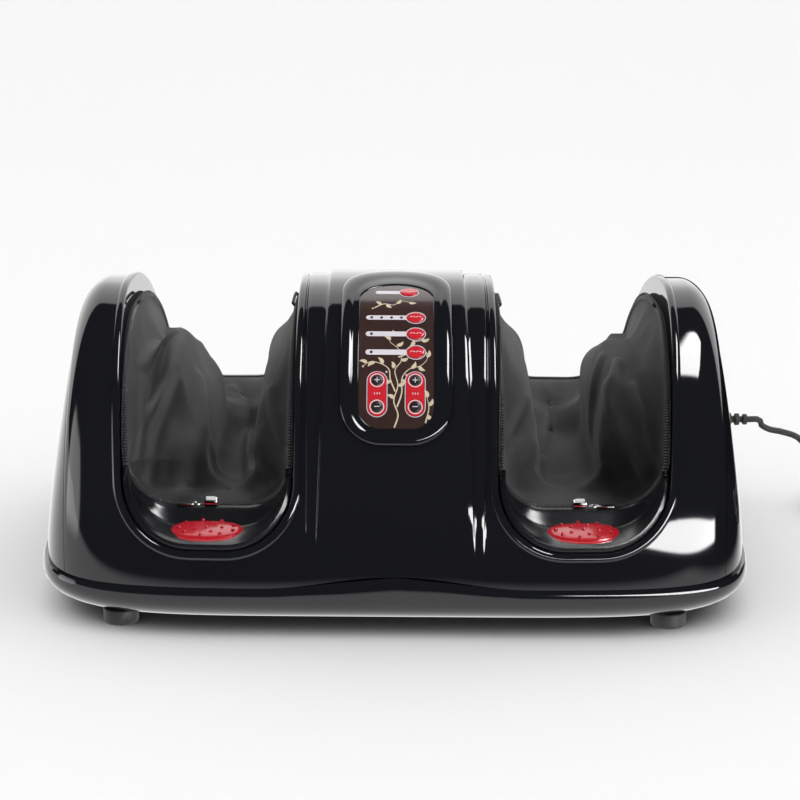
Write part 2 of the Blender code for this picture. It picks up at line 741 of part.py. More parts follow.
def tube(name, points, radius, resolution, finish, cyclic=False):
    curve = bpy.data.curves.new(name, "CURVE")
    curve.dimensions = "3D"
    curve.bevel_depth = radius
    curve.bevel_resolution = resolution
    curve.use_fill_caps = not cyclic
    spline = curve.splines.new("POLY")
    spline.points.add(len(points) - 1)
    for slot, point in zip(spline.points, points):
        slot.co = (*point, 1.0)
    spline.use_cyclic_u = cyclic
    return link(name, curve, finish)


def make_zip(side):
    path = [in_well(side, *place) for place in rim_path()]
    return tube("zip_" + side, path, ZIP_RADIUS, 0, SATIN_BLACK, True)


# Slider and pull at the middle of each zip's front
SLIDER_LENGTH = 0.009
SLIDER_WIDTH = 0.007
SLIDER_HEIGHT = 0.0024
PULL_LENGTH = 0.016
PULL_WIDTH = 0.005
PULL_THICKNESS = 0.0012
SLIDER_SETBACK = 0.0010


def make_slider(side):
    sign = sides(side)
    middle = sign * (WELL_INNER + WELL_OUTER) / 2
    y = (LEDGE_BACK_Y + ZIP_STANDOFF + SLIDER_SETBACK) * plan_share(middle)
    low_z = LEDGE_BACK_TOP + ZIP_RADIUS + GAP
    block("zip_slider_" + side, (middle - SLIDER_LENGTH / 2, y - SLIDER_WIDTH / 2, low_z),
          (middle + SLIDER_LENGTH / 2, y + SLIDER_WIDTH / 2, low_z + SLIDER_HEIGHT), SILVER)
    start = middle + sign * (SLIDER_LENGTH / 2 + GAP)
    end = start + sign * PULL_LENGTH
    low, high = sorted((start, end))
    block("zip_pull_" + side, (low, y - PULL_WIDTH / 2, low_z),
          (high, y + PULL_WIDTH / 2, low_z + PULL_THICKNESS), SILVER)


# Fabric linings with their mounds over the kneading plates and their main folds
WALL_SHARES = (0.0, 0.12, 0.24, 0.36, 0.5, 0.66, 0.84, 1.0)
LINING_STATIONS = 16


def lining_station(share):
    """Rim and floor places of the lining at a share of its length."""
    depth = ZIP_DEPTH + ZIP_RADIUS + 5 * GAP
    back_bottom = well_bottom(CASE_HALF_DEPTH) + LINING_INSET
    first, last = arc_span(depth, CUT_END_Y + ZIP_STANDOFF + 2 * ZIP_RADIUS,
                           back_bottom + WELL_CORNER_RADIUS)
    rim_y, rim_z = arch_at_angle(first + (last - first) * share, -depth)
    floor_front = LEDGE_BACK_Y + ZIP_STANDOFF + 2 * ZIP_RADIUS
    floor_back = arch_at_height(back_bottom, 0.0, True) - LIP_DEPTH * 0.8
    floor_y = floor_front + (floor_back - floor_front) * share
    front_rise = (LEDGE_BACK_TOP + 2 * GAP - LINING_FLOOR) * (1 - ease(share, 0.0, FRONT_RISE_SHARE))
    back_rise = (back_bottom - LINING_FLOOR) * ease(share, 0.72, 0.28)
    return rim_y, rim_z, floor_y, LINING_FLOOR + front_rise + back_rise


def inner_wall_x(y, z, rim_z):
    """The console side swells over its kneading plate."""
    along = 1 - ease(abs(y), MOUND_HALF_LENGTH, MOUND_FADE)
    run = max(rim_z - INNER_MOUND_TOP, 2 * MOUND_SHELF)
    return WELL_INNER + LINING_INSET + INNER_MOUND * ease(rim_z - z, 0.0, run) * along


def outer_wall_x(y, z, rim_z):
    """The wing side swells under a shelf over its kneading plate."""
    along = 1 - ease(abs(y), MOUND_HALF_LENGTH, MOUND_FADE)
    top = min(OUTER_MOUND_TOP, rim_z - MOUND_SHELF)
    return WELL_OUTER + well_lean(y, z) - LINING_INSET - OUTER_MOUND * (1 - ease(z, top,
                                                                                 MOUND_SHELF)) * along


def lining_row(share):
    rim_y, rim_z, floor_y, floor_z = lining_station(share)
    at_front, at_back = 1 - ease(share, 0.0, 0.25), ease(share, 0.65, 0.25)
    radius = LINING_CORNER_RADIUS + (LEDGE_BACK_RADIUS - ZIP_INSET - LINING_CORNER_RADIUS) * at_front
    radius += (WELL_CORNER_RADIUS - LINING_INSET - LINING_CORNER_RADIUS) * at_back
    radius = min(radius, (rim_z - floor_z) * 0.9)

    def depth_y(z):
        return rim_y + (floor_y - rim_y) * (rim_z - z) / (rim_z - floor_z)

    def wall(shape_of, turn):
        places = []
        for down_share in WALL_SHARES:
            z = rim_z + (floor_z + radius - rim_z) * down_share
            y = depth_y(z)
            fold = FOLD_DEPTH * math.sin(2 * HALF_TURN * (turn * y + z) / FOLD_PITCH)
            fold *= math.sin(HALF_TURN * min(1.0, down_share)) ** 2 * (1 - at_back)
            places.append((shape_of(y, z, rim_z) + fold, y, z))
        return places

    inner, outer = wall(inner_wall_x, -1), wall(outer_wall_x, 1)
    left, right = inner[-1][0], outer[-1][0]
    bends = []
    for angle_share in (0.33, 0.66, 1.0):
        angle = HALF_TURN + QUARTER_TURN * angle_share
        z = floor_z + radius + radius * math.sin(angle)
        bends.append((radius + radius * math.cos(angle), depth_y(z), z))
    floor = [(left + x, y, z) for x, y, z in bends]
    floor += [((left + right) / 2, floor_y, floor_z)]
    floor += [(right - x, y, z) for x, y, z in reversed(bends)]
    return inner + floor + outer[::-1]


def make_lining(side):
    sign = sides(side)
    shape = bmesh.new()
    rows = [[shape.verts.new(in_well(side, *place)) for place in lining_row(i / (LINING_STATIONS - 1))]
            for i in range(LINING_STATIONS)]
    for row, following in zip(rows, rows[1:]):
        for i in range(len(row) - 1):
            quad = (row[i], row[i + 1], following[i + 1], following[i])
            shape.faces.new(quad if sign > 0 else quad[::-1])
    mesh = bpy.data.meshes.new("lining_" + side)
    shape.to_mesh(mesh)
    shape.free()
    mesh.shade_smooth()
    lining = link("lining_" + side, mesh, LINING_BLACK)
    skin = lining.modifiers.new("cloth thickness", "SOLIDIFY")
    skin.thickness = LINING_THICKNESS
    skin.offset = -1.0
    return lining


# Kneading drive: one shaft through both wells, a worm drive in the console and four rocking plates
TRAY_TOP = FOOT_HEIGHT + TRAY_FLOOR
CHASSIS_LOW = TRAY_TOP + GAP
CHASSIS_TOP = CHASSIS_LOW + CHASSIS_THICKNESS
WORM_HEIGHT = SHAFT_HEIGHT + WHEEL_PITCH_RADIUS + WORM_RADIUS + MESH_GAP
WORM_LEAD = 2 * HALF_TURN * WHEEL_PITCH_RADIUS / WHEEL_TEETH
WORM_SHAFT_RADIUS = 0.0025
PLATE_PLACES = {"inner_left": -INNER_PLATE_X, "inner_right": INNER_PLATE_X,
                "outer_left": -OUTER_PLATE_X, "outer_right": OUTER_PLATE_X}
NODULE_PLACE_SHARES = ((0.0, 0.45), (-0.62, 0.85), (0.62, 0.85), (0.0, 1.0))


def make_chassis():
    low, high = CHASSIS_LOW, CHASSIS_TOP
    edge, inner = CHASSIS_HALF_WIDTH, CHASSIS_HALF_WIDTH - CHASSIS_THICKNESS
    outline = [(-edge, low), (edge, low), (edge, high + CHASSIS_LIP), (inner, high + CHASSIS_LIP),
               (inner, high), (-inner, high), (-inner, high + CHASSIS_LIP), (-edge, high + CHASSIS_LIP)]
    chassis = extrude_outline("chassis", outline, -CHASSIS_HALF_LENGTH, CHASSIS_HALF_LENGTH, STEEL)
    # A fork at each plate's hub keeps it from turning with the shaft
    near = PLATE_HUB_RADIUS + GUIDE_GAP
    for name, x in PLATE_PLACES.items():
        for sign in (-1, 1):
            front, rear = sorted((sign * near, sign * (near + GUIDE_THICKNESS)))
            guide = block("guide_" + name, (x - PLATE_THICKNESS / 2, front, CHASSIS_TOP - GAP),
                          (x + PLATE_THICKNESS / 2, rear, SHAFT_HEIGHT - GUIDE_DROP), STEEL)
            combine(chassis, guide, "UNION")


def make_bearing(name, x):
    low = CHASSIS_TOP + GAP
    outline = [(-BEARING_HALF_DEPTH, low), (BEARING_HALF_DEPTH, low)]
    crown = [(BEARING_HALF_DEPTH * math.cos(HALF_TURN * i / 8),
              SHAFT_HEIGHT + BEARING_HALF_DEPTH * math.sin(HALF_TURN * i / 8))
             for i in range(9)]
    item = extrude_outline(name, outline + crown, x - BEARING_WIDTH / 2, x + BEARING_WIDTH / 2,
                           NATURAL_NYLON)
    bore = turned(name + "_bore", [(SHAFT_RADIUS + GAP, x - BEARING_WIDTH),
                                   (SHAFT_RADIUS + GAP, x + BEARING_WIDTH)],
                  STEEL, 16, "X", (0, 0, SHAFT_HEIGHT))
    subtract(item, bore)


def make_knead_plate(name, x):
    outline = []
    for y, z, radius in ((0.0, SHAFT_HEIGHT, PLATE_HUB_RADIUS),
                         (-PLATE_LOBE_SPREAD, PLATE_LOBE_HEIGHT, PLATE_LOBE_RADIUS),
                         (PLATE_LOBE_SPREAD, PLATE_LOBE_HEIGHT, PLATE_LOBE_RADIUS)):
        outline += [(y + u, z + v) for u, v in circle_points(radius, 14)]
    outline = [outline[i] for i in convex_hull_2d([Vector(point) for point in outline])]
    plate = extrude_outline("knead_plate_" + name, outline, x - PLATE_THICKNESS / 2,
                            x + PLATE_THICKNESS / 2, NATURAL_NYLON)
    towards = 1 if "inner" in name else -1
    sign = 1 if x > 0 else -1
    face = x + sign * towards * PLATE_THICKNESS / 2
    domes = bmesh.new()
    reach = PLATE_LOBE_HEIGHT - SHAFT_HEIGHT
    for y_share, z_share in NODULE_PLACE_SHARES:
        rings = []
        for radius_share, out_share in ((1.0, -0.5), (0.95, 0.5), (0.5, 1.0)):
            rings.append([(face + sign * towards * NODULE_HEIGHT * out_share,
                           PLATE_LOBE_SPREAD * y_share + u,
                           SHAFT_HEIGHT + reach * z_share + v)
                          for u, v in circle_points(NODULE_RADIUS * radius_share, 8)])
        loft_into(domes, rings)
    combine(plate, from_bmesh("nodules_" + name, domes, NATURAL_NYLON), "UNION")
    bore = BUSH_RADIUS + BUSH_CLEARANCE
    hole = turned("hub_cutter_" + name, [(bore, x - PLATE_THICKNESS), (bore, x + PLATE_THICKNESS)],
                  STEEL, 16, "X", (0, 0, SHAFT_HEIGHT))
    subtract(plate, hole)


def make_bush(name, x):
    half = BUSH_WIDTH / 2
    profile = [(BUSH_RADIUS * 0.95, x - half), (BUSH_RADIUS, x), (BUSH_RADIUS * 0.95, x + half)]
    turned("wobble_bush_" + name, profile, SATIN_BLACK, 14, "X", (0, 0, SHAFT_HEIGHT),
           SHAFT_RADIUS + GAP)


def make_worm_wheel():
    count = WHEEL_TEETH * 4
    outline = []
    for i in range(count):
        angle = 2 * HALF_TURN * i / count
        radius = WHEEL_PITCH_RADIUS + TOOTH_DEPTH * math.cos(WHEEL_TEETH * angle)
        outline.append((radius * math.sin(angle), SHAFT_HEIGHT + radius * math.cos(angle)))
    wheel = extrude_outline("worm_wheel", outline, -WHEEL_WIDTH / 2, WHEEL_WIDTH / 2, NATURAL_NYLON)
    bore = turned("wheel_bore", [(SHAFT_RADIUS + GAP, -WHEEL_WIDTH), (SHAFT_RADIUS + GAP, WHEEL_WIDTH)],
                  STEEL, 16, "X",
                  (0, 0, SHAFT_HEIGHT))
    subtract(wheel, bore)


def make_worm():
    """The worm is one turned piece with its motor shaft; its thread is half a pitch off the teeth."""
    around, per_turn = 10, 6
    rings = []
    half = WORM_LEAD * WORM_TURNS / 2

    def ring(y, radius_of):
        points = []
        for i in range(around):
            angle = 2 * HALF_TURN * i / around
            radius = radius_of(angle)
            points.append((radius * math.sin(angle), y, WORM_HEIGHT - radius * math.cos(angle)))
        return points

    end = BRACKET_HALF_SPAN + BRACKET_THICKNESS + GAP
    rings.append(ring(-end, lambda angle: WORM_SHAFT_RADIUS))
    rings.append(ring(-half - GAP, lambda angle: WORM_SHAFT_RADIUS))
    for i in range(WORM_TURNS * per_turn + 1):
        y = -half + WORM_LEAD * i / per_turn
        phase = 2 * HALF_TURN * y / WORM_LEAD
        rings.append(ring(y, lambda angle: WORM_RADIUS - TOOTH_DEPTH * math.cos(phase - angle)))
    rings.append(ring(half + GAP, lambda angle: WORM_SHAFT_RADIUS))
    rings.append(ring(end + MOTOR_LENGTH * 0.2, lambda angle: WORM_SHAFT_RADIUS))
    loft("motor_worm", rings, STEEL)


def make_bracket():
    low = CHASSIS_TOP + GAP
    top = WORM_HEIGHT + MOTOR_RADIUS * 0.9
    inner, outer = BRACKET_HALF_SPAN, BRACKET_HALF_SPAN + BRACKET_THICKNESS
    outline = [(-outer, low), (outer, low), (outer, top), (inner, top),
               (inner, low + BRACKET_THICKNESS),
               (-inner, low + BRACKET_THICKNESS), (-inner, top), (-outer, top)]
    bracket = extrude_outline("gear_bracket", outline, -BRACKET_HALF_WIDTH, BRACKET_HALF_WIDTH, STEEL)
    bore = turned("bracket_bore", [(WORM_SHAFT_RADIUS + GAP, -outer - CUT_OVERRUN),
                                   (WORM_SHAFT_RADIUS + GAP, outer + CUT_OVERRUN)],
                  STEEL, 12, "Y", (0, 0, WORM_HEIGHT))
    subtract(bracket, bore)


def make_motor():
    start = BRACKET_HALF_SPAN + BRACKET_THICKNESS + GAP
    end = start + MOTOR_LENGTH
    bevel = MOTOR_RADIUS * 0.1
    profile = [(MOTOR_RADIUS - bevel, start), (MOTOR_RADIUS, start + bevel),
               (MOTOR_RADIUS, end - bevel),
               (MOTOR_RADIUS - bevel, end)]
    motor = turned("motor", profile, STEEL, 16, "Y", (0, 0, WORM_HEIGHT))
    socket_end = start + MOTOR_LENGTH * 0.2 + 2 * GAP
    socket = turned("motor_bore", [(WORM_SHAFT_RADIUS + GAP, start - CUT_OVERRUN),
                                   (WORM_SHAFT_RADIUS + GAP, socket_end)],
                    STEEL, 12, "Y", (0, 0, WORM_HEIGHT))
    subtract(motor, socket)


def make_drive():
    make_chassis()
    turned("drive_shaft", [(SHAFT_RADIUS, -SHAFT_HALF_LENGTH), (SHAFT_RADIUS, SHAFT_HALF_LENGTH)],
           STEEL, 16, "X",
           (0, 0, SHAFT_HEIGHT))
    for name, x in PLATE_PLACES.items():
        make_knead_plate(name, x)
        make_bush(name, x)
    middle = (WHEEL_WIDTH / 2 + INNER_PLATE_X) / 2
    end = SHAFT_HALF_LENGTH - BEARING_WIDTH
    for name, x in (("bearing_end_left", -end), ("bearing_mid_left", -middle),
                    ("bearing_mid_right", middle), ("bearing_end_right", end)):
        make_bearing(name, x)
    make_worm_wheel()
    make_worm()
    make_bracket()
    make_motor()


# Sole plates carry the floor of each lining over the drive
SOLE_HALF_WIDTH = 0.019
SOLE_THICKNESS = 0.003
SOLE_HALF_LENGTH = 0.112
SOLE_NOTCH_HALF = CHASSIS_HALF_WIDTH + 2 * GAP + CHASSIS_THICKNESS


def make_sole_plate(side):
    sign = sides(side)
    middle = sign * (WELL_INNER + WELL_OUTER) / 2
    top = LINING_FLOOR - LINING_THICKNESS - 2 * GAP
    low = TRAY_TOP + GAP
    web = SOLE_THICKNESS
    outline = [(middle - SOLE_HALF_WIDTH, low), (middle - SOLE_HALF_WIDTH + web, low),
               (middle - SOLE_HALF_WIDTH + web, top - web), (middle + SOLE_HALF_WIDTH - web, top - web),
               (middle + SOLE_HALF_WIDTH - web, low), (middle + SOLE_HALF_WIDTH, low),
               (middle + SOLE_HALF_WIDTH, top), (middle - SOLE_HALF_WIDTH, top)]
    plate = extrude_outline("sole_plate_" + side, outline, -SOLE_HALF_LENGTH, SOLE_HALF_LENGTH,
                            SATIN_BLACK, "Y")
    notch_top = SHAFT_HEIGHT + SHAFT_RADIUS + 4 * RUNNING_GAP
    notch = block("sole_notch_" + side, (middle - 2 * SOLE_HALF_WIDTH, -SOLE_NOTCH_HALF,
                                         low - CUT_OVERRUN),
                  (middle + 2 * SOLE_HALF_WIDTH, SOLE_NOTCH_HALF, notch_top), SATIN_BLACK)
    subtract(plate, notch)


# Console: flat pieces are drawn in (x, distance from the top, height) and bent over the arch
def score(item):
    """Divides a flat piece into strips, so that it can bend."""
    flat = bmesh.new()
    flat.from_mesh(item.data)
    low = min(vertex.co.y for vertex in flat.verts)
    high = max(vertex.co.y for vertex in flat.verts)
    cuts = int((high - low) / STRIP_LENGTH)
    for i in range(1, cuts):
        geometry = flat.verts[:] + flat.edges[:] + flat.faces[:]
        bmesh.ops.bisect_plane(flat, geom=geometry, dist=GAP / 100,
                               plane_co=(0, low + (high - low) * i / cuts, 0),
                               plane_no=(0, 1, 0))
    flat.to_mesh(item.data)
    flat.free()
    return item


def bend(item):
    graph = bpy.context.evaluated_depsgraph_get()
    flat = bmesh.new()
    flat.from_mesh(item.evaluated_get(graph).to_mesh())
    bmesh.ops.remove_doubles(flat, verts=flat.verts, dist=GAP / 10)
    bmesh.ops.triangulate(flat, faces=flat.faces)
    for vertex in flat.verts:
        x, distance, lift = vertex.co
        y, z = arch_from_top(distance, lift)
        vertex.co = (x, y, z)
    item.modifiers.clear()
    bmesh.ops.reverse_faces(flat, faces=flat.faces)
    flat.to_mesh(item.data)
    flat.free()
    item.data.shade_smooth()
    item.data.set_sharp_from_angle(angle=math.radians(40))
    return item


def rounded_outline(half_width, top, bottom, radius, steps=5):
    """Rounded rectangle between two distances from the top."""
    points = []
    corners = ((half_width - radius, bottom - radius, 0.0),
               (-half_width + radius, bottom - radius, QUARTER_TURN),
               (-half_width + radius, top + radius, HALF_TURN),
               (half_width - radius, top + radius, HALF_TURN + QUARTER_TURN))
    for x, y, start in corners:
        for i in range(steps + 1):
            angle = start + QUARTER_TURN * i / steps
            points.append((x + radius * math.cos(angle), y + radius * math.sin(angle)))
    return points


def flat_ring(name, layers, finish):
    return loft(name, [[(x, y, height) for x, y in outline] for outline, height in layers], finish)


def ellipse_points(column, row, half_width, half_height, count=16):
    return [(column + half_width * u, row + half_height * v) for u, v in circle_points(1, count)]


KEYS = {"key_power": (POWER_KEY_COLUMN, POWER_KEY_ROW), "key_upper": (KEY_COLUMN, UPPER_KEY_ROW),
        "key_middle": (KEY_COLUMN, MIDDLE_KEY_ROW), "key_lower": (KEY_COLUMN, LOWER_KEY_ROW)}
ROUND_KEYS = {"round_key_upper_left": (-ROUND_KEY_COLUMN, ROUND_UPPER_ROW),
              "round_key_lower_left": (-ROUND_KEY_COLUMN, ROUND_LOWER_ROW),
              "round_key_upper_right": (ROUND_KEY_COLUMN, ROUND_UPPER_ROW),
              "round_key_lower_right": (ROUND_KEY_COLUMN, ROUND_LOWER_ROW)}
LAMPS = [(LAMP_COLUMN + LAMP_PITCH * i, UPPER_KEY_ROW) for i in range(4)]
LAMPS += [(LAMP_COLUMN, MIDDLE_KEY_ROW), (LAMP_COLUMN, LOWER_KEY_ROW)]


def make_bezel():
    top, bottom = PANEL_TOP, PANEL_BOTTOM
    layers = []
    outer_shares = ((0.0, 0.0), (0.0, 0.5), (0.2, 0.9), (0.5, 1.0), (0.85, 0.7), (0.97, 0.0))
    for inward_share, height_share in outer_shares:
        side = BEZEL_SIDE * (1 - inward_share)
        radius = PANEL_CORNER_RADIUS + side
        outline = rounded_outline(PANEL_HALF_WIDTH + side, top - BEZEL_TOP * (1 - inward_share),
                                  bottom + BEZEL_BOTTOM * (1 - inward_share), radius)
        layers.append([(x, y, GAP + BEZEL_HEIGHT * height_share) for x, y in outline])
    return bend(score(loft("console_bezel", layers, along_closed=True)))


def make_panel():
    edge = GAP
    outline = rounded_outline(PANEL_HALF_WIDTH - edge, PANEL_TOP + edge, PANEL_BOTTOM - edge,
                              PANEL_CORNER_RADIUS - edge)
    panel = score(flat_ring("control_panel", [(outline, GAP), (outline, PANEL_THICKNESS)],
                            OVERLAY_BROWN))
    holes = bmesh.new()
    low, high = -PANEL_THICKNESS, 2 * PANEL_THICKNESS
    shapes = [ellipse_points(c, r, KEY_HALF_WIDTH + KEY_CLEARANCE,
                             KEY_HALF_HEIGHT + KEY_CLEARANCE) for c, r in KEYS.values()]
    shapes += [ellipse_points(c, r, ROUND_KEY_RADIUS + KEY_CLEARANCE, ROUND_KEY_RADIUS + KEY_CLEARANCE,
                              12)
               for c, r in ROUND_KEYS.values()]
    shapes += [ellipse_points(c, r, LAMP_RADIUS + GAP, LAMP_RADIUS + GAP, 6) for c, r in LAMPS]
    for points in shapes:
        loft_into(holes, [[(x, y, height) for x, y in points] for height in (low, high)])
    subtract(panel, from_bmesh("panel_holes", holes, OVERLAY_BROWN))
    layers = [(light_web(GAP), low), (light_web(GAP), GAP * 2 + LIGHT_WEB)]
    subtract(panel, flat_ring("panel_recess", layers, OVERLAY_BROWN))
    return bend(panel)


def make_keys():
    bottom = GAP + KEY_TRAVEL + GAP
    top = PANEL_THICKNESS + KEY_PROUD
    crown = KEY_PROUD * 0.4
    for name, (column, row) in KEYS.items():
        layers = [(ellipse_points(column, row, KEY_HALF_WIDTH * s, KEY_HALF_HEIGHT * s), h)
                  for s, h in ((1.0, bottom), (1.0, top - crown), (0.85, top))]
        bend(flat_ring(name, layers, KEY_RED))
    cap = CAPSULE_HEIGHT
    for name, (column, row) in ROUND_KEYS.items():
        layers = [(ellipse_points(column, row, ROUND_KEY_RADIUS * s, ROUND_KEY_RADIUS * s, 12), h)
                  for s, h in ((1.0, bottom), (1.0, top + cap - crown), (0.8, top + cap))]
        bend(flat_ring(name, layers, SATIN_BLACK))


def make_capsule(side):
    column = sides(side) * ROUND_KEY_COLUMN
    outline = rounded_outline(CAPSULE_HALF_WIDTH, ROUND_UPPER_ROW - CAPSULE_END,
                              ROUND_LOWER_ROW + CAPSULE_END, CAPSULE_HALF_WIDTH)
    outline = [(x + column, y) for x, y in outline]
    low = PANEL_THICKNESS + GAP
    plate = score(flat_ring("key_capsule_" + side, [(outline, low), (outline, low + CAPSULE_HEIGHT)],
                            KEY_RED))
    holes = bmesh.new()
    for row in (ROUND_UPPER_ROW, ROUND_LOWER_ROW):
        points = ellipse_points(column, row, ROUND_KEY_RADIUS + KEY_CLEARANCE,
                                ROUND_KEY_RADIUS + KEY_CLEARANCE, 12)
        loft_into(holes, [[(x, y, h) for x, y in points] for h in (low - GAP,
                                                                   low + 2 * CAPSULE_HEIGHT)])
    subtract(plate, from_bmesh("capsule_holes_" + side, holes, KEY_RED))
    return bend(plate)


def light_web(grow):
    """Outline of the light guide's web: across the upper row, then down the lamps' column."""
    half = LIGHT_WEB_HALF_WIDTH + grow
    left, right = LAMP_COLUMN - half, LAMP_COLUMN + 3 * LAMP_PITCH + half
    return [(left, UPPER_KEY_ROW - half), (right, UPPER_KEY_ROW - half), (right, UPPER_KEY_ROW + half),
            (LAMP_COLUMN + half, UPPER_KEY_ROW + half), (LAMP_COLUMN + half, LOWER_KEY_ROW + half),
            (left, LOWER_KEY_ROW + half)]


def make_light_guide():
    guide_web = score(flat_ring("light_guide",
                                [(light_web(0.0), GAP), (light_web(0.0), GAP + LIGHT_WEB)], LAMP_CLEAR))
    shape = bmesh.new()
    for column, row in LAMPS:
        loft_into(shape, [[(x, y, h) for x,
                           y in ellipse_points(column, row, LAMP_RADIUS, LAMP_RADIUS, 6)]
                          for h in (GAP + LIGHT_WEB / 2, PANEL_THICKNESS + GAP)])
    combine(guide_web, from_bmesh("lamp_windows", shape, LAMP_CLEAR), "UNION")
    return bend(guide_web)


def make_board():
    """The board hangs under the console wall on four posts that are part of it."""
    depth = WALL + BOARD_DEPTH
    top = UPPER_KEY_ROW - KEY_COLUMN
    bottom = ROUND_LOWER_ROW + CAPSULE_END
    outline = rounded_outline(BOARD_HALF_WIDTH, top, bottom, BOARD_POST_RADIUS, 2)
    board = score(flat_ring("control_board", [(outline, -depth), (outline, -depth + BOARD_THICKNESS)],
                            BOARD_GREEN))
    posts = bmesh.new()
    for x in (-BOARD_HALF_WIDTH + 2 * BOARD_POST_RADIUS, BOARD_HALF_WIDTH - 2 * BOARD_POST_RADIUS):
        for y in (top + 2 * BOARD_POST_RADIUS, bottom - 2 * BOARD_POST_RADIUS):
            reach = -WALL - CONSOLE_RAISE - 2 * GAP
            loft_into(posts, [[(x + u, y + v, h) for u, v in circle_points(BOARD_POST_RADIUS, 8)]
                              for h in (-depth + BOARD_THICKNESS / 2, reach)])
    combine(board, from_bmesh("board_posts", posts, BOARD_GREEN), "UNION")
    return bend(board)


# Mains lead: strain relief, free run, coil and plug
EXIT_X = CASE_HALF_WIDTH + RELIEF_LENGTH


def make_strain_relief():
    profile = [(RELIEF_RADIUS, WING_END - WALL), (RELIEF_RADIUS, CASE_HALF_WIDTH)]
    rib = RELIEF_LENGTH / (2 * RELIEF_RIBS)
    for i in range(RELIEF_RIBS):
        start = CASE_HALF_WIDTH + 2 * rib * i
        wide = RELIEF_RADIUS * (1.0 - RIB_TAPER_SHARE * i)
        narrow = wide * 0.62
        profile += [(narrow, start + rib * 0.4), (wide, start + rib * 1.2)]
    profile += [(LEAD_DIAMETER * 0.62, EXIT_X)]
    return turned("strain_relief", profile, RUBBER, 12, "X", (0, EXIT_Y, EXIT_HEIGHT))


def smooth_route(points, spacing):
    """Catmull-Rom curve through the route's points, sampled at even spacing."""
    ends = [points[0] * 2 - points[1]] + points + [points[-1] * 2 - points[-2]]
    dense = []
    fine = 24
    for a, b, c, d in zip(ends, ends[1:], ends[2:], ends[3:]):
        for i in range(fine):
            t = i / fine
            dense.append(0.5 * ((2 * b) + (c - a) * t + (2 * a - 5 * b + 4 * c - d) * t * t
                                + (3 * b - a - 3 * c + d) * t ** 3))
    dense.append(points[-1])
    lengths = [0.0]
    for a, b in zip(dense, dense[1:]):
        lengths.append(lengths[-1] + (b - a).length)
    total = lengths[-1]
    count = max(2, round(total / spacing))
    result, index = [], 0
    for i in range(count + 1):
        target = total * i / count
        while index < len(lengths) - 2 and lengths[index + 1] < target:
            index += 1
        span = lengths[index + 1] - lengths[index]
        result.append(dense[index].lerp(dense[index + 1],
                                        (target - lengths[index]) / span if span else 0.0))
    return result, total


def coil_points():
    """Two layers: the spiral runs in below, climbs in a half turn and runs out again on top."""
    low = COIL_LOW
    outer = COIL_MEAN_RADIUS + COIL_PITCH * COIL_TURNS / 4
    per_turn = 24
    total = COIL_TURNS * per_turn
    climb = per_turn // 2
    points = []
    for i in range(total + 1):
        inward = min(i, total - i)
        radius = outer - COIL_PITCH * inward / per_turn
        height = low + COIL_PITCH * ease((i - (total - climb) / 2) / climb, 0.0, 1.0)
        angle = COIL_START_ANGLE + 2 * HALF_TURN * i / per_turn
        points.append(Vector((COIL_X + radius * math.cos(angle), COIL_Y + radius * math.sin(angle),
                              height)))
    return points


COIL_LOW = LEAD_DIAMETER / 2 + TIE_THICKNESS + 2 * GAP
COIL_START_ANGLE = -HALF_TURN * 0.5


def straight_ends(points):
    """Adds a run of one diameter at each end, along the end's own direction."""
    first = (points[0] - points[1]).normalized() * LEAD_DIAMETER
    last = (points[-1] - points[-2]).normalized() * LEAD_DIAMETER
    return [points[0] + first] + points + [points[-1] + last]


def least_gap(points, skip):
    """Least distance between runs of a tube that lie more than a few points apart, less its diameter."""
    least = None
    for i, a in enumerate(points):
        for b in points[i + skip:]:
            apart = (a - b).length
            if least is None or apart < least:
                least = apart
    return least - LEAD_DIAMETER


def make_lead():
    coil = straight_ends(coil_points())
    print("least gap of the coil to itself, mm:", round(least_gap(coil, 12) * 1000, 3))
    tube("lead_coil", coil, LEAD_DIAMETER / 2, 1, RUBBER)
    start = Vector((EXIT_X + GAP, EXIT_Y, EXIT_HEIGHT))
    join = coil[0] + (coil[0] - coil[1]).normalized() * GAP
    before = join + (coil[0] - coil[1]).normalized() * LEAD_DIAMETER * 3
    route = [start, start + Vector((LEAD_DIAMETER * 2, 0, 0))]
    route += [Vector(place) for place in LEAD_ROUTE]
    route += [before, join]
    points, length = smooth_route(route, LEAD_DIAMETER * 2.2)
    tube("lead_run", points, LEAD_DIAMETER / 2, 2, RUBBER)
    coil_length = sum((b - a).length for a, b in zip(coil, coil[1:]))
    out = (coil[-1] - coil[-2]).normalized()
    tail_start = coil[-1] + out * GAP
    plug_start = Vector(PLUG_PLACE)
    heading = Vector(PLUG_HEADING).normalized()
    tail_route = [tail_start, tail_start + out * LEAD_DIAMETER * 2.5]
    tail_route += [Vector(place) for place in TAIL_ROUTE]
    tail_route += [plug_start - heading * LEAD_DIAMETER * 2.5, plug_start - heading * GAP]
    tail, tail_length = smooth_route(tail_route, LEAD_DIAMETER * 2.2)
    tube("lead_tail", tail, LEAD_DIAMETER / 2, 2, RUBBER)
    print("lead run, coil, tail, whole length:", round(length, 4), round(coil_length, 4),
          round(tail_length, 4),
          round(length + coil_length + tail_length, 4))


# Hand-chosen route of the free lead: out of the view, down to the floor and round to the coil
LEAD_ROUTE = ((0.2640, 0.1000, 0.0645), (0.2705, 0.1000, 0.0607), (0.2805, 0.0999, 0.0587),
              (0.2920, 0.0990, 0.0545), (0.3000, 0.0955, 0.0440), (0.3040, 0.0890, 0.0290),
              (0.3055, 0.0800, 0.0140), (0.3110, 0.0705, 0.0060))
TAIL_ROUTE = ((0.3740, 0.0660, 0.0095), (0.3880, 0.0705, 0.0090))
PLUG_PLACE = (0.3985, 0.0880, PLUG_RADIUS + GAP)
PLUG_HEADING = (0.35, 1.0, 0.0)


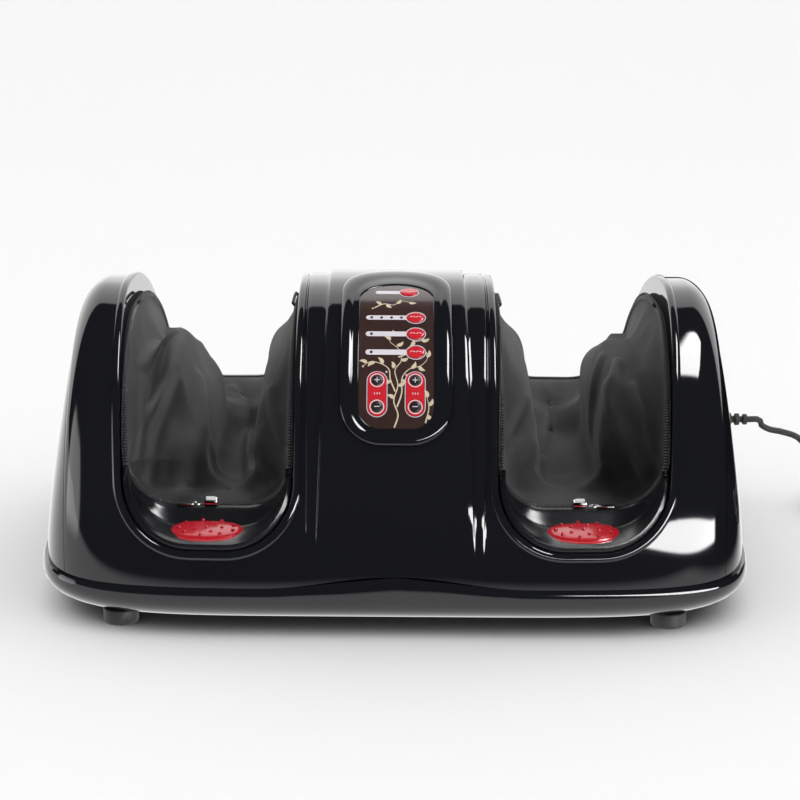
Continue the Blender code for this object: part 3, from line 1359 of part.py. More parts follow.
def make_plug():
    place, heading = Vector(PLUG_PLACE), Vector(PLUG_HEADING).normalized()
    across = Vector((heading.y, -heading.x, 0.0))
    up = Vector((0.0, 0.0, 1.0))
    shape = bmesh.new()
    rings = []
    for along_share, size_share in ((0.0, 0.36), (0.06, 0.42), (0.30, 0.62), (0.45, 0.92), (0.55, 1.0),
                                    (0.95, 1.0), (1.0, 0.94)):
        centre = place + heading * PLUG_LENGTH * along_share
        rings.append([centre + across * u * 1.35 * size_share + up * v * size_share for u,
                      v in circle_points(PLUG_RADIUS, 14)])
    loft_into(shape, rings)
    plug = from_bmesh("plug", shape, RUBBER)
    pins = bmesh.new()
    for sign in (-1, 1):
        rings = []
        for along, radius_share in ((-PIN_RADIUS, 1.0), (PIN_LENGTH - PIN_RADIUS, 1.0),
                                    (PIN_LENGTH, 0.5)):
            centre = place + heading * (PLUG_LENGTH + along) + across * sign * PIN_SPACING / 2 * 0.9
            rings.append([centre + across * u * radius_share + up * v * radius_share for u,
                          v in circle_points(PIN_RADIUS, 10)])
        loft_into(pins, rings)
    return combine(plug, from_bmesh("plug_pins", pins, SILVER), "UNION")


def make_tie():
    """A closed strap round all the turns at the side of the coil that is far from its ends."""
    reach = COIL_PITCH * COIL_TURNS / 4 + LEAD_DIAMETER / 2 + 2 * GAP
    middle = COIL_Y + COIL_MEAN_RADIUS
    low, high = TIE_THICKNESS + GAP, COIL_LOW + COIL_PITCH + LEAD_DIAMETER / 2 + 2 * GAP
    rings = []
    for side, grow in ((-1, TIE_THICKNESS), (1, TIE_THICKNESS), (1, 0.0), (-1, 0.0)):
        x = COIL_X + side * TIE_WIDTH / 2
        rings.append([(x, middle - reach - grow, low - grow), (x, middle + reach + grow, low - grow),
                      (x, middle + reach + grow, high + grow), (x, middle - reach - grow, high + grow)])
    return loft("cable_tie", rings, SATIN_BLACK, along_closed=True)


def main():
    make_upper_shell()
    make_base_tray()
    make_feet()
    for side in ("left", "right"):
        make_side_panel(side)
        make_ledge(side)
        make_pad(side)
        make_zip(side)
        make_slider(side)
        make_lining(side)
        make_sole_plate(side)
        make_capsule(side)
    make_drive()
    make_bezel()
    make_panel()
    make_keys()
    make_light_guide()
    make_board()
    make_strain_relief()
    make_lead()
    make_plug()
    make_tie()


main()
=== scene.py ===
"""Foot and leg massager: gloss black case with two lined wells, a console between them and a mains lead."""

import math

import bmesh
import bpy
from mathutils import Matrix, Vector, noise


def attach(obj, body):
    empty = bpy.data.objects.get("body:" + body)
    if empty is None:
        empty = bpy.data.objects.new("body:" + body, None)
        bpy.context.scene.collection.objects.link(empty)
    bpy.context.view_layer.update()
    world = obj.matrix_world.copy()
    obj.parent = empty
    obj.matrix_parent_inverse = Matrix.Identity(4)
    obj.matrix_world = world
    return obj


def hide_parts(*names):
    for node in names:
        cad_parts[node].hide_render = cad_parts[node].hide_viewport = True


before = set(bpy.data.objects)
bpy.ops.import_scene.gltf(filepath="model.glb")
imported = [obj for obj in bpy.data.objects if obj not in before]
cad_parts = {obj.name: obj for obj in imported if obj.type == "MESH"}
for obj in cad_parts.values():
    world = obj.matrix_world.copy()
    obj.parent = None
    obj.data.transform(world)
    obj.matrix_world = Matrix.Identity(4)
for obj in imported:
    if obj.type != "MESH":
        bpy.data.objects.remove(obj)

bl_info = {
    "name": "Foot and leg massager",
    "version": (1, 0, 0),
    "blender": (4, 5, 0),
    "location": "View3D > Sidebar > Massager",
    "description": "Builds a foot and leg massager piece by piece",
    "category": "Add Mesh",
}

HALF_TURN = math.pi
QUARTER_TURN = math.pi / 2
PLAN_POWER = 5.5  # how square the plan is: with 2 it would be an ellipse
SIDES = {"left": -1, "right": 1}
FIT_GAP = 0.0003  # clearance between pieces that don't touch
MERGE, FINE_MERGE, PATCH_MERGE = 0.000005, 0.000001, 0.00003  # how near places have to be to become one


def length(name, text, default):
    return bpy.props.FloatProperty(name=name, description=text, default=default, unit="LENGTH", precision=5)


class MassagerSizes(bpy.types.PropertyGroup):
    half_width: length("Half width", "Half of the case's width", 0.225)
    half_depth: length("Half depth", "Half of the case's depth", 0.175)
    seam: length("Seam height", "Height of the seam between shell and tray", 0.033)
    wave: length("Seam wave", "Rise of the seam at the middle of the front", 0.008)
    wave_half: length("Wave half width", "Half of the wave's width", 0.085)
    arch: length("Arch height", "Height of the arch over the seam", 0.1636)
    front_reach: length("Front reach", "Depth of the arch ahead of its crest", 0.130)
    wing_end: length("Wing end", "Where the wings' side panels start", 0.206)
    wing_edge: length("Wing edge", "Width of the wings' rounded outer edges", 0.0180)
    wing_drop: length("Wing drop", "Height that the wings' outer edges round off", 0.026)
    band: length("Console band", "Rise of the console's middle band", 0.0041)
    step: length("Console step", "Rise of the console's side steps", 0.0018)
    band_top: length("Band at the top", "Half width of the band at the crest", 0.0427)
    band_low: length("Band at the seam", "Half width of the band at the seam", 0.0486)
    step_top: length("Step at the top", "Half width of the step beside the band at the crest", 0.0558)
    step_low: length("Step at the seam", "Half width of the step beside the band at the seam", 0.0530)
    step_width: length("Step width", "Width of each console step's slope", 0.0014)
    fade_start: length("Band start", "Height over the seam where the band starts", 0.004)
    fade: length("Band fade", "Height over which the band rises", 0.070)
    well_inner: length("Well inside", "Console side of a well", 0.0625)
    well_outer: length("Well outside", "Wing side of a well", 0.1685)
    well_radius: length("Well radius", "Radius of a well's lower corners", 0.042)
    well_front: length("Well front", "Height of a well's floor line at the front", 0.0554)
    well_back: length("Well back", "Height of a well's floor line at the back", 0.0800)
    lip: length("Lip", "Depth of the lip turned in round a well", 0.012)
    wall: length("Wall", "Thickness of the mouldings", 0.0022)
    foot: length("Foot height", "Height of the rubber feet", 0.010)
    tray_inset: length("Tray inset", "How far the tray draws in at its foot", 0.015)
    ledge_depth: length("Ledge depth", "Depth of a toe ledge", 0.038)
    ledge_rise: length("Ledge rise", "Rise of a toe ledge to the back", 0.0125)
    lead: length("Lead diameter", "Diameter of the mains lead", 0.0045)
    lead_length: length("Lead length", "Whole length of the mains lead", 1.696)
    exit_y: length("Exit depth", "Depth at which the lead leaves the case", 0.100)
    exit_z: length("Exit height", "Height at which the lead leaves the case", 0.068)


def sizes():
    return bpy.context.scene.massager_sizes


# Shape of the case
def ease(value, start, run):
    """Rises smoothly from nought to one over the run after start."""
    share = min(1.0, max(0.0, (value - start) / run))
    return share * share * (3 - 2 * share)


def arch(angle, lift=0.0):
    """Depth and height on the side arch, moved out by lift."""
    s = sizes()
    crest = s.front_reach - s.half_depth
    reach = s.front_reach if angle <= QUARTER_TURN else s.half_depth - crest
    c, n = math.cos(angle), math.sin(angle)
    out = Vector((-c / reach, n / s.arch)).normalized()
    return crest - reach * c + lift * out.x, s.seam + s.arch * n + lift * out.y


def plan_share(x):
    share = min(1.0, abs(x) / sizes().half_width)
    return (1 - share ** PLAN_POWER) ** (1 / PLAN_POWER)


def seam_wave(x, y):
    s = sizes()
    if y > 0 or abs(x) > s.wave_half:
        return 0.0
    return s.wave * math.cos(QUARTER_TURN * x / s.wave_half) ** 2


def drum(x, angle, lift=0.0):
    """A place on the case over the seam."""
    s = sizes()
    y, z = arch(angle, lift)
    start = s.wing_end - s.wing_edge
    over = min(1.0, max(0.0, (abs(x) - start) / s.wing_edge))
    share = (s.arch - s.wing_drop * (1 - math.sqrt(1 - over * over))) / s.arch
    y *= plan_share(x)
    z = s.seam + (z - s.seam) * share
    z += seam_wave(x, y) * (1 - ease(z - s.seam, 0.0, 0.022))
    return Vector((x, y, z))


def angle_at_height(z, back=False, lift=0.0):
    low, high = 0.0, QUARTER_TURN
    for _ in range(32):
        middle = (low + high) / 2
        if arch(HALF_TURN - middle if back else middle, lift)[1] < z:
            low = middle
        else:
            high = middle
    return HALF_TURN - low if back else low


def well_bottom(y):
    s = sizes()
    return s.well_front + (s.well_back - s.well_front) * (y + s.half_depth) / (2 * s.half_depth)


def well_lean(y, z):
    return 0.05 * max(0.0, z - well_bottom(y) - sizes().well_radius)


def outline_angle(x, rise, back, lift):
    """Angle on the drum where it lies at a height over the well's floor line."""
    low, high = 0.0, QUARTER_TURN
    for _ in range(34):
        middle = (low + high) / 2
        place = drum(x, HALF_TURN - middle if back else middle, lift)
        if place.z < well_bottom(place.y / plan_share(x)) + rise:
            low = middle
        else:
            high = middle
    return HALF_TURN - low if back else low


def arc(x, y, radius, start, sweep, count):
    """Places along part of a circle."""
    turns = [start + sweep * i / count for i in range(count + 1)]
    return [(x + radius * math.cos(turn), y + radius * math.sin(turn)) for turn in turns]


def between(a, b, count):
    """Even places on a straight line, without its ends."""
    return [(a[0] + (b[0] - a[0]) * i / count, a[1] + (b[1] - a[1]) * i / count) for i in range(1, count)]


def u_shape(grow, fine=14, flat=16):
    """Lower part of a well's outline: x and rise over the floor line, from the console side."""
    s = sizes()
    left, right, radius = s.well_inner + s.well_radius, s.well_outer - s.well_radius, s.well_radius + grow
    return (arc(left, s.well_radius, radius, HALF_TURN, QUARTER_TURN, fine)
            + between((left, -grow), (right, -grow), flat)
            + arc(right, s.well_radius, radius, HALF_TURN + QUARTER_TURN, QUARTER_TURN, fine))


def side_angles(side_x, count, lift=0.0):
    """Angles up one side of the well, from its front corner over the crest to its back corner."""
    rise = sizes().well_radius
    first = outline_angle(side_x, rise, False, lift)
    last = outline_angle(side_x, rise, True, lift)
    return [first + (last - first) * i / (count - 1) for i in range(count)]


def outer_place(angle, grow, lift):
    """A place on the drum at the wing side of the well, which leans outward."""
    x = sizes().well_outer + grow
    for _ in range(4):
        place = drum(x, angle, lift)
        x = sizes().well_outer + grow + well_lean(place.y / plan_share(x), place.z)
    return drum(x, angle, lift)


# Modelling helpers
def new_object(name, shape, keep_doubles=False):
    """Makes an object of a bmesh, with its doubles merged."""
    if not keep_doubles:
        bmesh.ops.remove_doubles(shape, verts=shape.verts, dist=MERGE)
    mesh = bpy.data.meshes.new(name)
    shape.to_mesh(mesh)
    shape.free()
    item = bpy.data.objects.new(name, mesh)
    bpy.context.scene.collection.objects.link(item)
    return item


def grid_into(shape, rows, closed=False):
    """Adds rows of places as a grid of faces."""
    made = [[shape.verts.new(place) for place in row] for row in rows]
    for row, following in zip(made, made[1:]):
        count = len(row) if closed else len(row) - 1
        for i in range(count):
            j = (i + 1) % len(row)
            shape.faces.new((row[i], row[j], following[j], following[i]))
    return made


def capped_into(shape, rings):
    """Adds a closed body through rings of places."""
    made = grid_into(shape, rings, closed=True)
    shape.faces.new(made[0])
    shape.faces.new(made[-1][::-1])


def solid(name, shape, degrees, keep_doubles=False):
    """Makes a smooth object of a closed bmesh, with its faces turned outward."""
    bmesh.ops.recalc_face_normals(shape, faces=shape.faces)
    return smooth(new_object(name, shape, keep_doubles), degrees)


def open_sheet(name, rows, closed=False, keep_doubles=False):
    """An open surface through rows of places, with its faces turned up."""
    shape = bmesh.new()
    grid_into(shape, rows, closed)
    return face_up(new_object(name, shape, keep_doubles))


def loft(name, rings, degrees):
    shape = bmesh.new()
    capped_into(shape, rings)
    return solid(name, shape, degrees)


def hoop(name, rings, degrees, keep_doubles=False):
    """A body through rings of places that end where they start."""
    shape = bmesh.new()
    grid_into(shape, rings + [rings[0]], closed=True)
    bmesh.ops.remove_doubles(shape, verts=shape.verts, dist=FINE_MERGE)
    return solid(name, shape, degrees, keep_doubles)


def ring_points(radius, count):
    return [(radius * math.cos(2 * HALF_TURN * i / count), radius * math.sin(2 * HALF_TURN * i / count))
            for i in range(count)]


def only(item):
    """Selects one object and makes it active."""
    if bpy.context.mode != "OBJECT":
        bpy.ops.object.mode_set(mode="OBJECT")
    bpy.ops.object.select_all(action="DESELECT")
    item.select_set(True)
    bpy.context.view_layer.objects.active = item
    return item


def smooth(item, degrees=35):
    only(item)
    bpy.ops.object.shade_smooth_by_angle(angle=math.radians(degrees))
    return item


def face_up(item):
    """Turns an open surface's faces so that the highest one looks up."""
    only(item)
    bpy.ops.object.mode_set(mode="EDIT")
    bpy.ops.mesh.select_all(action="SELECT")
    bpy.ops.mesh.normals_make_consistent(inside=False)
    bpy.ops.object.mode_set(mode="OBJECT")
    top = max(item.data.polygons, key=lambda face: face.center.z)
    if top.normal.z < 0:
        bpy.ops.object.mode_set(mode="EDIT")
        bpy.ops.mesh.select_all(action="SELECT")
        bpy.ops.mesh.flip_normals()
        bpy.ops.object.mode_set(mode="OBJECT")
    return item


def thicken(item, thickness, offset=-1.0, even=True):
    only(item)
    skin = item.modifiers.new("thickness", "SOLIDIFY")
    skin.thickness = thickness
    skin.offset = offset
    skin.use_even_offset = even
    bpy.ops.object.modifier_apply(modifier=skin.name)
    return item


def finish_piece(item, material, body, *replaced, slot=None):
    """Gives a piece its finish and its body, and hides the nodes that it replaces. The slot is not used."""
    item.data.materials.clear()
    item.data.materials.append(finish(material))
    if replaced:
        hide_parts(*replaced)
    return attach(item, body)


def block(name, centre, size):
    """A box at its place."""
    bpy.ops.object.select_all(action="DESELECT")
    bpy.ops.mesh.primitive_cube_add(size=1.0, location=centre)
    item = bpy.context.object
    item.name, item.scale = name, size
    return applied(item)


def applied(item):
    """Takes an object's place, turn and scale into its mesh."""
    only(item)
    bpy.ops.object.transform_apply(location=True, rotation=True, scale=True)
    return item


def rounded(item, width, segments=3):
    """Rounds every edge of a piece."""
    rounding = only(item).modifiers.new("rounding", "BEVEL")
    rounding.width, rounding.segments = width, segments
    bpy.ops.object.modifier_apply(modifier=rounding.name)
    return smooth(item)


# Finishes
def node_in(tree, kind, inputs=(), **settings):
    """A shader node with its settings, and its inputs set to values or linked to sockets."""
    node = tree.nodes.new("ShaderNode" + kind)
    for name, value in settings.items():
        setattr(node, name, value)
    for key, value in dict(inputs).items():
        if isinstance(value, bpy.types.NodeSocket):
            tree.links.new(value, node.inputs[key])
        else:
            node.inputs[key].default_value = value
    return node


def colour_mix(tree, share, low, high):
    return node_in(tree, "Mix", {0: share, 6: low, 7: high}, data_type="RGBA").outputs[2]


def object_place(tree, name="Object"):
    return node_in(tree, "TexCoord").outputs[name]


def group_of(name, sockets):
    """A new node group with named sockets, each with its side, kind and default value."""
    group = bpy.data.node_groups.new(name, "ShaderNodeTree")
    for name, side, kind, default in sockets:
        socket = group.interface.new_socket(name=name, in_out=side, socket_type="NodeSocket" + kind)
        if default is not None:
            socket.default_value = default
    return group


def surface_group():
    """Node group with a soft unevenness, as a mask and as a bump."""
    found = bpy.data.node_groups.get("surface unevenness")
    if found:
        return found
    group = group_of("surface unevenness", (
        ("Scale", "INPUT", "Float", 60.0), ("Detail", "INPUT", "Float", 4.0),
        ("Strength", "INPUT", "Float", 0.05),
        ("Mask", "OUTPUT", "Float", None), ("Normal", "OUTPUT", "Vector", None)))
    given, out = group.nodes.new("NodeGroupInput").outputs, group.nodes.new("NodeGroupOutput").inputs
    grain = node_in(group, "TexNoise", {"Vector": object_place(group), "Scale": given["Scale"],
                                        "Detail": given["Detail"]}).outputs["Fac"]
    bump = node_in(group, "Bump", {"Distance": 0.001, "Strength": given["Strength"], "Height": grain})
    group.links.new(grain, out["Mask"])
    group.links.new(bump.outputs["Normal"], out["Normal"])
    return group


# Each finish: darkest and lightest colour, roughness and its spread, scale of the unevenness, bump, other values
FINISHES = {
    "gloss black": ((0.0080, 0.0084, 0.0105), (0.0100, 0.0105, 0.0130), 0.05, 0.012, 14.0, 0.004,
                    {"IOR": 1.5, "Specular IOR Level": 0.5}),
    "ledge black": ((0.0080, 0.0084, 0.0105), (0.0100, 0.0105, 0.0130), 0.25, 0.03, 40.0, 0.01, {}),
    "satin black": ((0.010, 0.010, 0.011), (0.018, 0.018, 0.019), 0.38, 0.06, 220.0, 0.06, {}),
    "zip coil": ((0.045, 0.045, 0.048), (0.070, 0.070, 0.074), 0.40, 0.06, 260.0, 0.03, {}),
    "black rubber": ((0.012, 0.012, 0.012), (0.022, 0.022, 0.022), 0.62, 0.08, 300.0, 0.08, {}),
    "red key": ((0.56, 0.008, 0.018), (0.66, 0.012, 0.026), 0.24, 0.05, 180.0, 0.02,
                {"Coat Weight": 0.6, "Coat Roughness": 0.08}),
    "brown overlay": ((0.036, 0.018, 0.016), (0.052, 0.028, 0.025), 0.20, 0.03, 70.0, 0.01,
                      {"Coat Weight": 0.5, "Coat Roughness": 0.05}),
    "white print": ((0.66, 0.62, 0.68), (0.74, 0.70, 0.76), 0.35, 0.04, 200.0, 0.0, {}),
    "cream print": ((0.58, 0.49, 0.34), (0.68, 0.58, 0.42), 0.35, 0.04, 140.0, 0.0, {}),
    "nickel": ((0.72, 0.71, 0.69), (0.82, 0.81, 0.79), 0.26, 0.08, 160.0, 0.03, {"Metallic": 0.25}),
    "zinc plate": ((0.42, 0.43, 0.44), (0.56, 0.57, 0.58), 0.36, 0.10, 45.0, 0.05, {"Metallic": 1.0}),
    "natural nylon": ((0.62, 0.60, 0.52), (0.72, 0.70, 0.62), 0.48, 0.08, 60.0, 0.05, {}),
    "circuit board": ((0.012, 0.070, 0.022), (0.020, 0.100, 0.034), 0.42, 0.06, 400.0, 0.05, {}),
    "smoked lamp": ((0.018, 0.010, 0.010), (0.030, 0.016, 0.016), 0.18, 0.04, 200.0, 0.0, {}),
    "red gel": ((0.40, 0.003, 0.010), (0.50, 0.005, 0.015), 0.20, 0.03, 90.0, 0.02,
                {"Subsurface Weight": 0.25, "Subsurface Scale": 0.004, "Coat Weight": 0.3,
                 "Coat Roughness": 0.05}),
    "black polyester": ((0.0080, 0.0080, 0.0088), (0.0145, 0.0145, 0.0160), 0.74, 0.08, 34.0, 0.25,
                        {"Sheen Weight": 0.12, "Sheen Roughness": 0.4}),
    "white sweep": ((0.925, 0.925, 0.925), (0.935, 0.935, 0.935), 0.9, 0.03, 1.0, 0.0,
                    {"Specular IOR Level": 0.1}),
}


def gel_red(tree, shader):
    """Deep red in the middle, with a painted glow: a brighter red where the gel is seen at a slant."""
    slant = node_in(tree, "LayerWeight", {"Blend": 0.35}).outputs["Facing"]
    colour = shader["Base Color"]
    tree.links.new(colour_mix(tree, slant, colour.links[0].from_socket, (0.75, 0.03, 0.05, 1)), colour)


def weave_and_painted_fold_shade(tree, shader):
    """A fine weave bump, plus painted light and shade along the folds: an attribute on the lining's mesh scales the
    base colour and the specular level.
    """
    weave = node_in(tree, "TexVoronoi", {"Vector": object_place(tree), "Scale": 1100.0})
    relief = node_in(tree, "Bump", {"Strength": 0.35, "Distance": 0.0004, "Height": weave.outputs["Distance"],
                                    "Normal": shader["Normal"].links[0].from_socket})
    # Painted light and shade: the lit sides of the folds get a lighter colour and more sheen, the shaded sides a
    # darker colour and less.
    painted_fold_shade = node_in(tree, "Attribute", attribute_name="painted_fold_shade").outputs["Fac"]
    level = node_in(tree, "MapRange", {"Value": painted_fold_shade, "From Min": -0.9, "From Max": 1.1, "To Min": 0.25,
                                       "To Max": 2.0}).outputs["Result"]
    shaded = node_in(tree, "VectorMath", {0: shader["Base Color"].links[0].from_socket, "Scale": level},
                     operation="SCALE")
    gleam = node_in(tree, "Math", {0: level, 1: 0.5}, operation="MULTIPLY")
    for output, name in ((relief.outputs["Normal"], "Normal"), (shaded.outputs["Vector"], "Base Color"),
                         (gleam.outputs[0], "Specular IOR Level")):
        tree.links.new(output, shader[name])


def finish(name):
    """A Principled finish whose colour and roughness vary softly over the piece."""
    found = bpy.data.materials.get(name)
    if found:
        return found
    low, high, rough, spread, scale, bump, constants = FINISHES[name]
    made = bpy.data.materials.new(name)
    made.use_nodes = True
    tree = made.node_tree
    shader = tree.nodes["Principled BSDF"].inputs
    uneven = node_in(tree, "Group", {"Scale": scale, "Strength": bump}, node_tree=surface_group()).outputs
    roughness = node_in(tree, "MapRange", {"Value": uneven["Mask"], "To Min": max(0.0, rough - spread),
                                           "To Max": rough + spread})
    tree.links.new(colour_mix(tree, uneven["Mask"], (*low, 1), (*high, 1)), shader["Base Color"])
    tree.links.new(roughness.outputs["Result"], shader["Roughness"])
    if bump:
        tree.links.new(uneven["Normal"], shader["Normal"])
    for key, value in constants.items():
        shader[key].default_value = value
    # Painted glow: the gel's colour turns brighter red where it is seen at a slant.
    if name == "red gel":
        gel_red(tree, shader)
    # The lining cloth gets a weave bump and painted light and shade along its folds.
    if name == "black polyester":
        weave_and_painted_fold_shade(tree, shader)
    return made


# Camera
CAMERA_ELEVATION = math.radians(15)
CAMERA_ROLL = math.radians(0.38)
CAMERA_DISTANCE = 1.55
CAMERA_AIM = 0.1
CAMERA_LENS = 102.83


class MASSAGER_OT_camera(bpy.types.Operator):
    """Sets the camera as the photo was taken: level with the front, 15 degrees above"""
    bl_idname = "massager.camera"
    bl_label = "Camera"

    def execute(self, context):
        data = bpy.data.cameras.new("Camera")
        camera = bpy.data.objects.new("Camera", data)
        context.scene.collection.objects.link(camera)
        run, rise = CAMERA_DISTANCE * math.cos(CAMERA_ELEVATION), CAMERA_DISTANCE * math.sin(CAMERA_ELEVATION)
        camera.location = (0.0, -run, CAMERA_AIM + rise)
        tilt = Matrix.Rotation(QUARTER_TURN - CAMERA_ELEVATION, 4, "X")
        camera.rotation_euler = (tilt @ Matrix.Rotation(CAMERA_ROLL, 4, "Z")).to_euler()
        data.lens = CAMERA_LENS
        data.sensor_width = 36.0
        data.shift_x = 0.005
        data.shift_y = 0.0125
        data.dof.use_dof = False
        context.scene.camera = camera
        return {"FINISHED"}


# Mains lead
LEAD_SPACING = 0.0035
LEAD_ROUTE = ((0.2640, 0.1000, 0.0645), (0.2705, 0.1000, 0.0607), (0.2805, 0.0999, 0.0587),
              (0.2920, 0.0990, 0.0545), (0.3000, 0.0955, 0.0440), (0.3040, 0.0890, 0.0290),
              (0.3055, 0.0800, 0.0140), (0.3110, 0.0705, 0.0060))
TAIL_ROUTE = ((0.3740, 0.0660, 0.0095), (0.3880, 0.0705, 0.0090))
RELIEF_END = 0.0293
RELIEF_RIBS = 5
RELIEF_RADIUS = 0.0057
COIL_CENTRE = (0.345, 0.105)
COIL_RADIUS = 0.0297
COIL_PITCH = 0.0052
COIL_TURNS = 8
PLUG_PLACE = (0.3985, 0.0880, 0.0088)
PLUG_HEADING = (0.35, 1.0, 0.0)
PLUG_REACH, PLUG_RADIUS = 0.036, 0.0085
PIN_RADIUS, PIN_ASIDE = 0.0024, 0.00855
# Sections of the plug and of its pins: how far along, and how thick
PLUG_SECTION = ((0.0, 0.30), (0.01, 0.36), (0.06, 0.42), (0.16, 0.48), (0.30, 0.62), (0.38, 0.78),
                (0.46, 0.92), (0.55, 0.99), (0.62, 1.0), (0.90, 1.0), (0.97, 0.97), (1.0, 0.90))
PIN_SECTION = ((-0.002, 1.0), (0.0160, 1.0), (0.0182, 0.8), (0.0190, 0.4))
TIE_THICKNESS = 0.0012


def through(a, b, c, d, t):
    """A place between b and c on the smooth curve that passes through all four."""
    return 0.5 * ((2 * b) + (c - a) * t + (2 * a - 5 * b + 4 * c - d) * t * t + (3 * b - a - 3 * c + d) * t ** 3)


def spaced(line, spacing, closed=False):
    """Even places along a line of places; the last one is left out where the line closes."""
    marks = [0.0]
    for a, b in zip(line, line[1:]):
        marks.append(marks[-1] + (b - a).length)
    count = max(2, round(marks[-1] / spacing))
    result, index = [], 0
    for i in range(count if closed else count + 1):
        target = marks[-1] * i / count
        while index < len(marks) - 2 and marks[index + 1] < target:
            index += 1
        span = (marks[index + 1] - marks[index]) or 1.0
        result.append(line[index].lerp(line[index + 1], (target - marks[index]) / span))
    return result


def smooth_route(points, spacing):
    """Even places along a smooth curve through the route's points."""
    ends = [points[0] * 2 - points[1]] + points + [points[-1] * 2 - points[-2]]
    dense = [through(*four, i / 24) for four in zip(ends, ends[1:], ends[2:], ends[3:]) for i in range(24)]
    return spaced(dense + [points[-1]], spacing)


def coil_places():
    """Two layers of turns: the spiral runs in below, climbs, and runs out again on top."""
    low = sizes().lead / 2 + TIE_THICKNESS + 0.0006
    outer = COIL_RADIUS + COIL_PITCH * COIL_TURNS / 4
    per_turn = 48
    total = COIL_TURNS * per_turn
    climb = per_turn // 2
    places = []
    for i in range(total + 1):
        inward = min(i, total - i)
        radius = outer - COIL_PITCH * inward / per_turn
        height = low + COIL_PITCH * ease((i - (total - climb) / 2) / climb, 0.0, 1.0)
        turn = -QUARTER_TURN + 2 * HALF_TURN * i / per_turn
        places.append(Vector((COIL_CENTRE[0] + radius * math.cos(turn),
                              COIL_CENTRE[1] + radius * math.sin(turn), height)))
    return places


def lead_places():
    s = sizes()
    coil = coil_places()
    inlet = (coil[0] - coil[1]).normalized()
    outlet = (coil[-1] - coil[-2]).normalized()
    start = Vector((s.half_width + RELIEF_END, s.exit_y, s.exit_z))
    run = [start, start + Vector((s.lead * 2, 0, 0))] + [Vector(place) for place in LEAD_ROUTE]
    run += [coil[0] + inlet * s.lead * 4, coil[0] + inlet * s.lead]
    plug, heading = Vector(PLUG_PLACE), Vector(PLUG_HEADING).normalized()
    tail = [coil[-1] + outlet * s.lead, coil[-1] + outlet * s.lead * 3.5]
    tail += [Vector(place) for place in TAIL_ROUTE]
    tail += [plug - heading * s.lead * 2.5, plug - heading * FIT_GAP]
    return smooth_route(run, LEAD_SPACING) + coil + smooth_route(tail, LEAD_SPACING)


class MASSAGER_OT_lead(bpy.types.Operator):
    """Lays the mains lead with its strain relief, tied coil and plug"""
    bl_idname = "massager.lead"
    bl_label = "Mains lead"

    def execute(self, context):
        s = sizes()
        curve = bpy.data.curves.new("Mains_Lead", "CURVE")
        curve.dimensions = "3D"
        curve.bevel_depth = s.lead / 2
        curve.bevel_resolution = 3
        curve.use_fill_caps = True
        places = lead_places()
        spline = curve.splines.new("POLY")
        spline.points.add(len(places) - 1)
        for slot, place in zip(spline.points, places):
            slot.co = (*place, 1.0)
        spline.use_smooth = True
        lead = bpy.data.objects.new("Mains_Lead", curve)
        context.scene.collection.objects.link(lead)
        lead.data.materials.append(finish("black rubber"))
        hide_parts("lead_run", "lead_coil", "lead_tail")
        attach(lead, "case")
        pieces = [self.relief(), self.tie(), self.plug()]
        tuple(places[0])
        return {"FINISHED"}

    def relief(self):
        """Ribbed and tapered, from the side panel to the free lead."""
        s = sizes()
        start, reach = s.half_width, RELIEF_END - FIT_GAP
        rib = reach / (2 * RELIEF_RIBS)
        profile = [(RELIEF_RADIUS - 0.0001, s.wing_end - 0.003), (RELIEF_RADIUS - 0.0001, start - 0.001)]
        for i in range(RELIEF_RIBS):
            wide = RELIEF_RADIUS * (1 - 0.08 * i)
            narrow = wide * 0.58
            base = start + 2 * rib * i
            profile += [(narrow, base + rib * 0.25), (narrow, base + rib * 0.75),
                        (wide * 0.95, base + rib * 0.92),
                        (wide, base + rib * 1.1), (wide, base + rib * 1.75), (wide * 0.95, base + rib * 1.95)]
        profile.append((s.lead * 0.56, start + reach))
        rings = [[(x, s.exit_y + u, s.exit_z + v) for u, v in ring_points(r, 32)] for r, x in profile]
        relief = loft("Strain_Relief", rings, 50)
        return finish_piece(relief, "black rubber", "case", "strain_relief", slot="rubber_black")

    def tie(self):
        """A strap round all the turns of the coil."""
        s = sizes()
        reach = COIL_PITCH * COIL_TURNS / 4 + s.lead / 2 + 0.0006
        middle = COIL_CENTRE[1] + COIL_RADIUS
        low = TIE_THICKNESS + FIT_GAP
        high = s.lead + TIE_THICKNESS + 0.0012 + COIL_PITCH
        tie = block("Cable_Tie", (COIL_CENTRE[0], middle, (low + high) / 2),
                    (0.006, 2 * reach + TIE_THICKNESS, high - low + TIE_THICKNESS))
        shape = bmesh.new()
        shape.from_mesh(tie.data)
        ends = [face for face in shape.faces if abs(face.normal.x) > 0.5]
        bmesh.ops.delete(shape, geom=ends, context="FACES_ONLY")
        shape.to_mesh(tie.data)
        shape.free()
        thicken(tie, TIE_THICKNESS, 0.0)
        return finish_piece(rounded(tie, 0.0003, 2), "satin black", "case", "cable_tie", slot="satin_black")

    def plug(self):
        """A moulded two-pin plug with a grip."""
        place, heading = Vector(PLUG_PLACE), Vector(PLUG_HEADING).normalized()
        across, up = Vector((heading.y, -heading.x, 0.0)), Vector((0.0, 0.0, 1.0))
        rings = []
        for along, size in PLUG_SECTION:
            centre = place + heading * PLUG_REACH * along
            rings.append([centre + across * u * 1.35 * size + up * v * size
                          for u, v in ring_points(PLUG_RADIUS, 40)])
        plug = loft("Plug", rings, 45)
        finish_piece(plug, "black rubber", "case", "plug", slot="rubber_black")
        shape = bmesh.new()
        for sign in (-1, 1):
            rings = []
            for along, size in PIN_SECTION:
                centre = place + heading * (PLUG_REACH + along) + across * sign * PIN_ASIDE
                rings.append([centre + across * u * size + up * v * size
                              for u, v in ring_points(PIN_RADIUS, 20)])
            capped_into(shape, rings)
        pins = solid("Plug_Pins", shape, 35)
        finish_piece(pins, "nickel", "case", slot="nickel")
        pins.parent = plug
        return plug


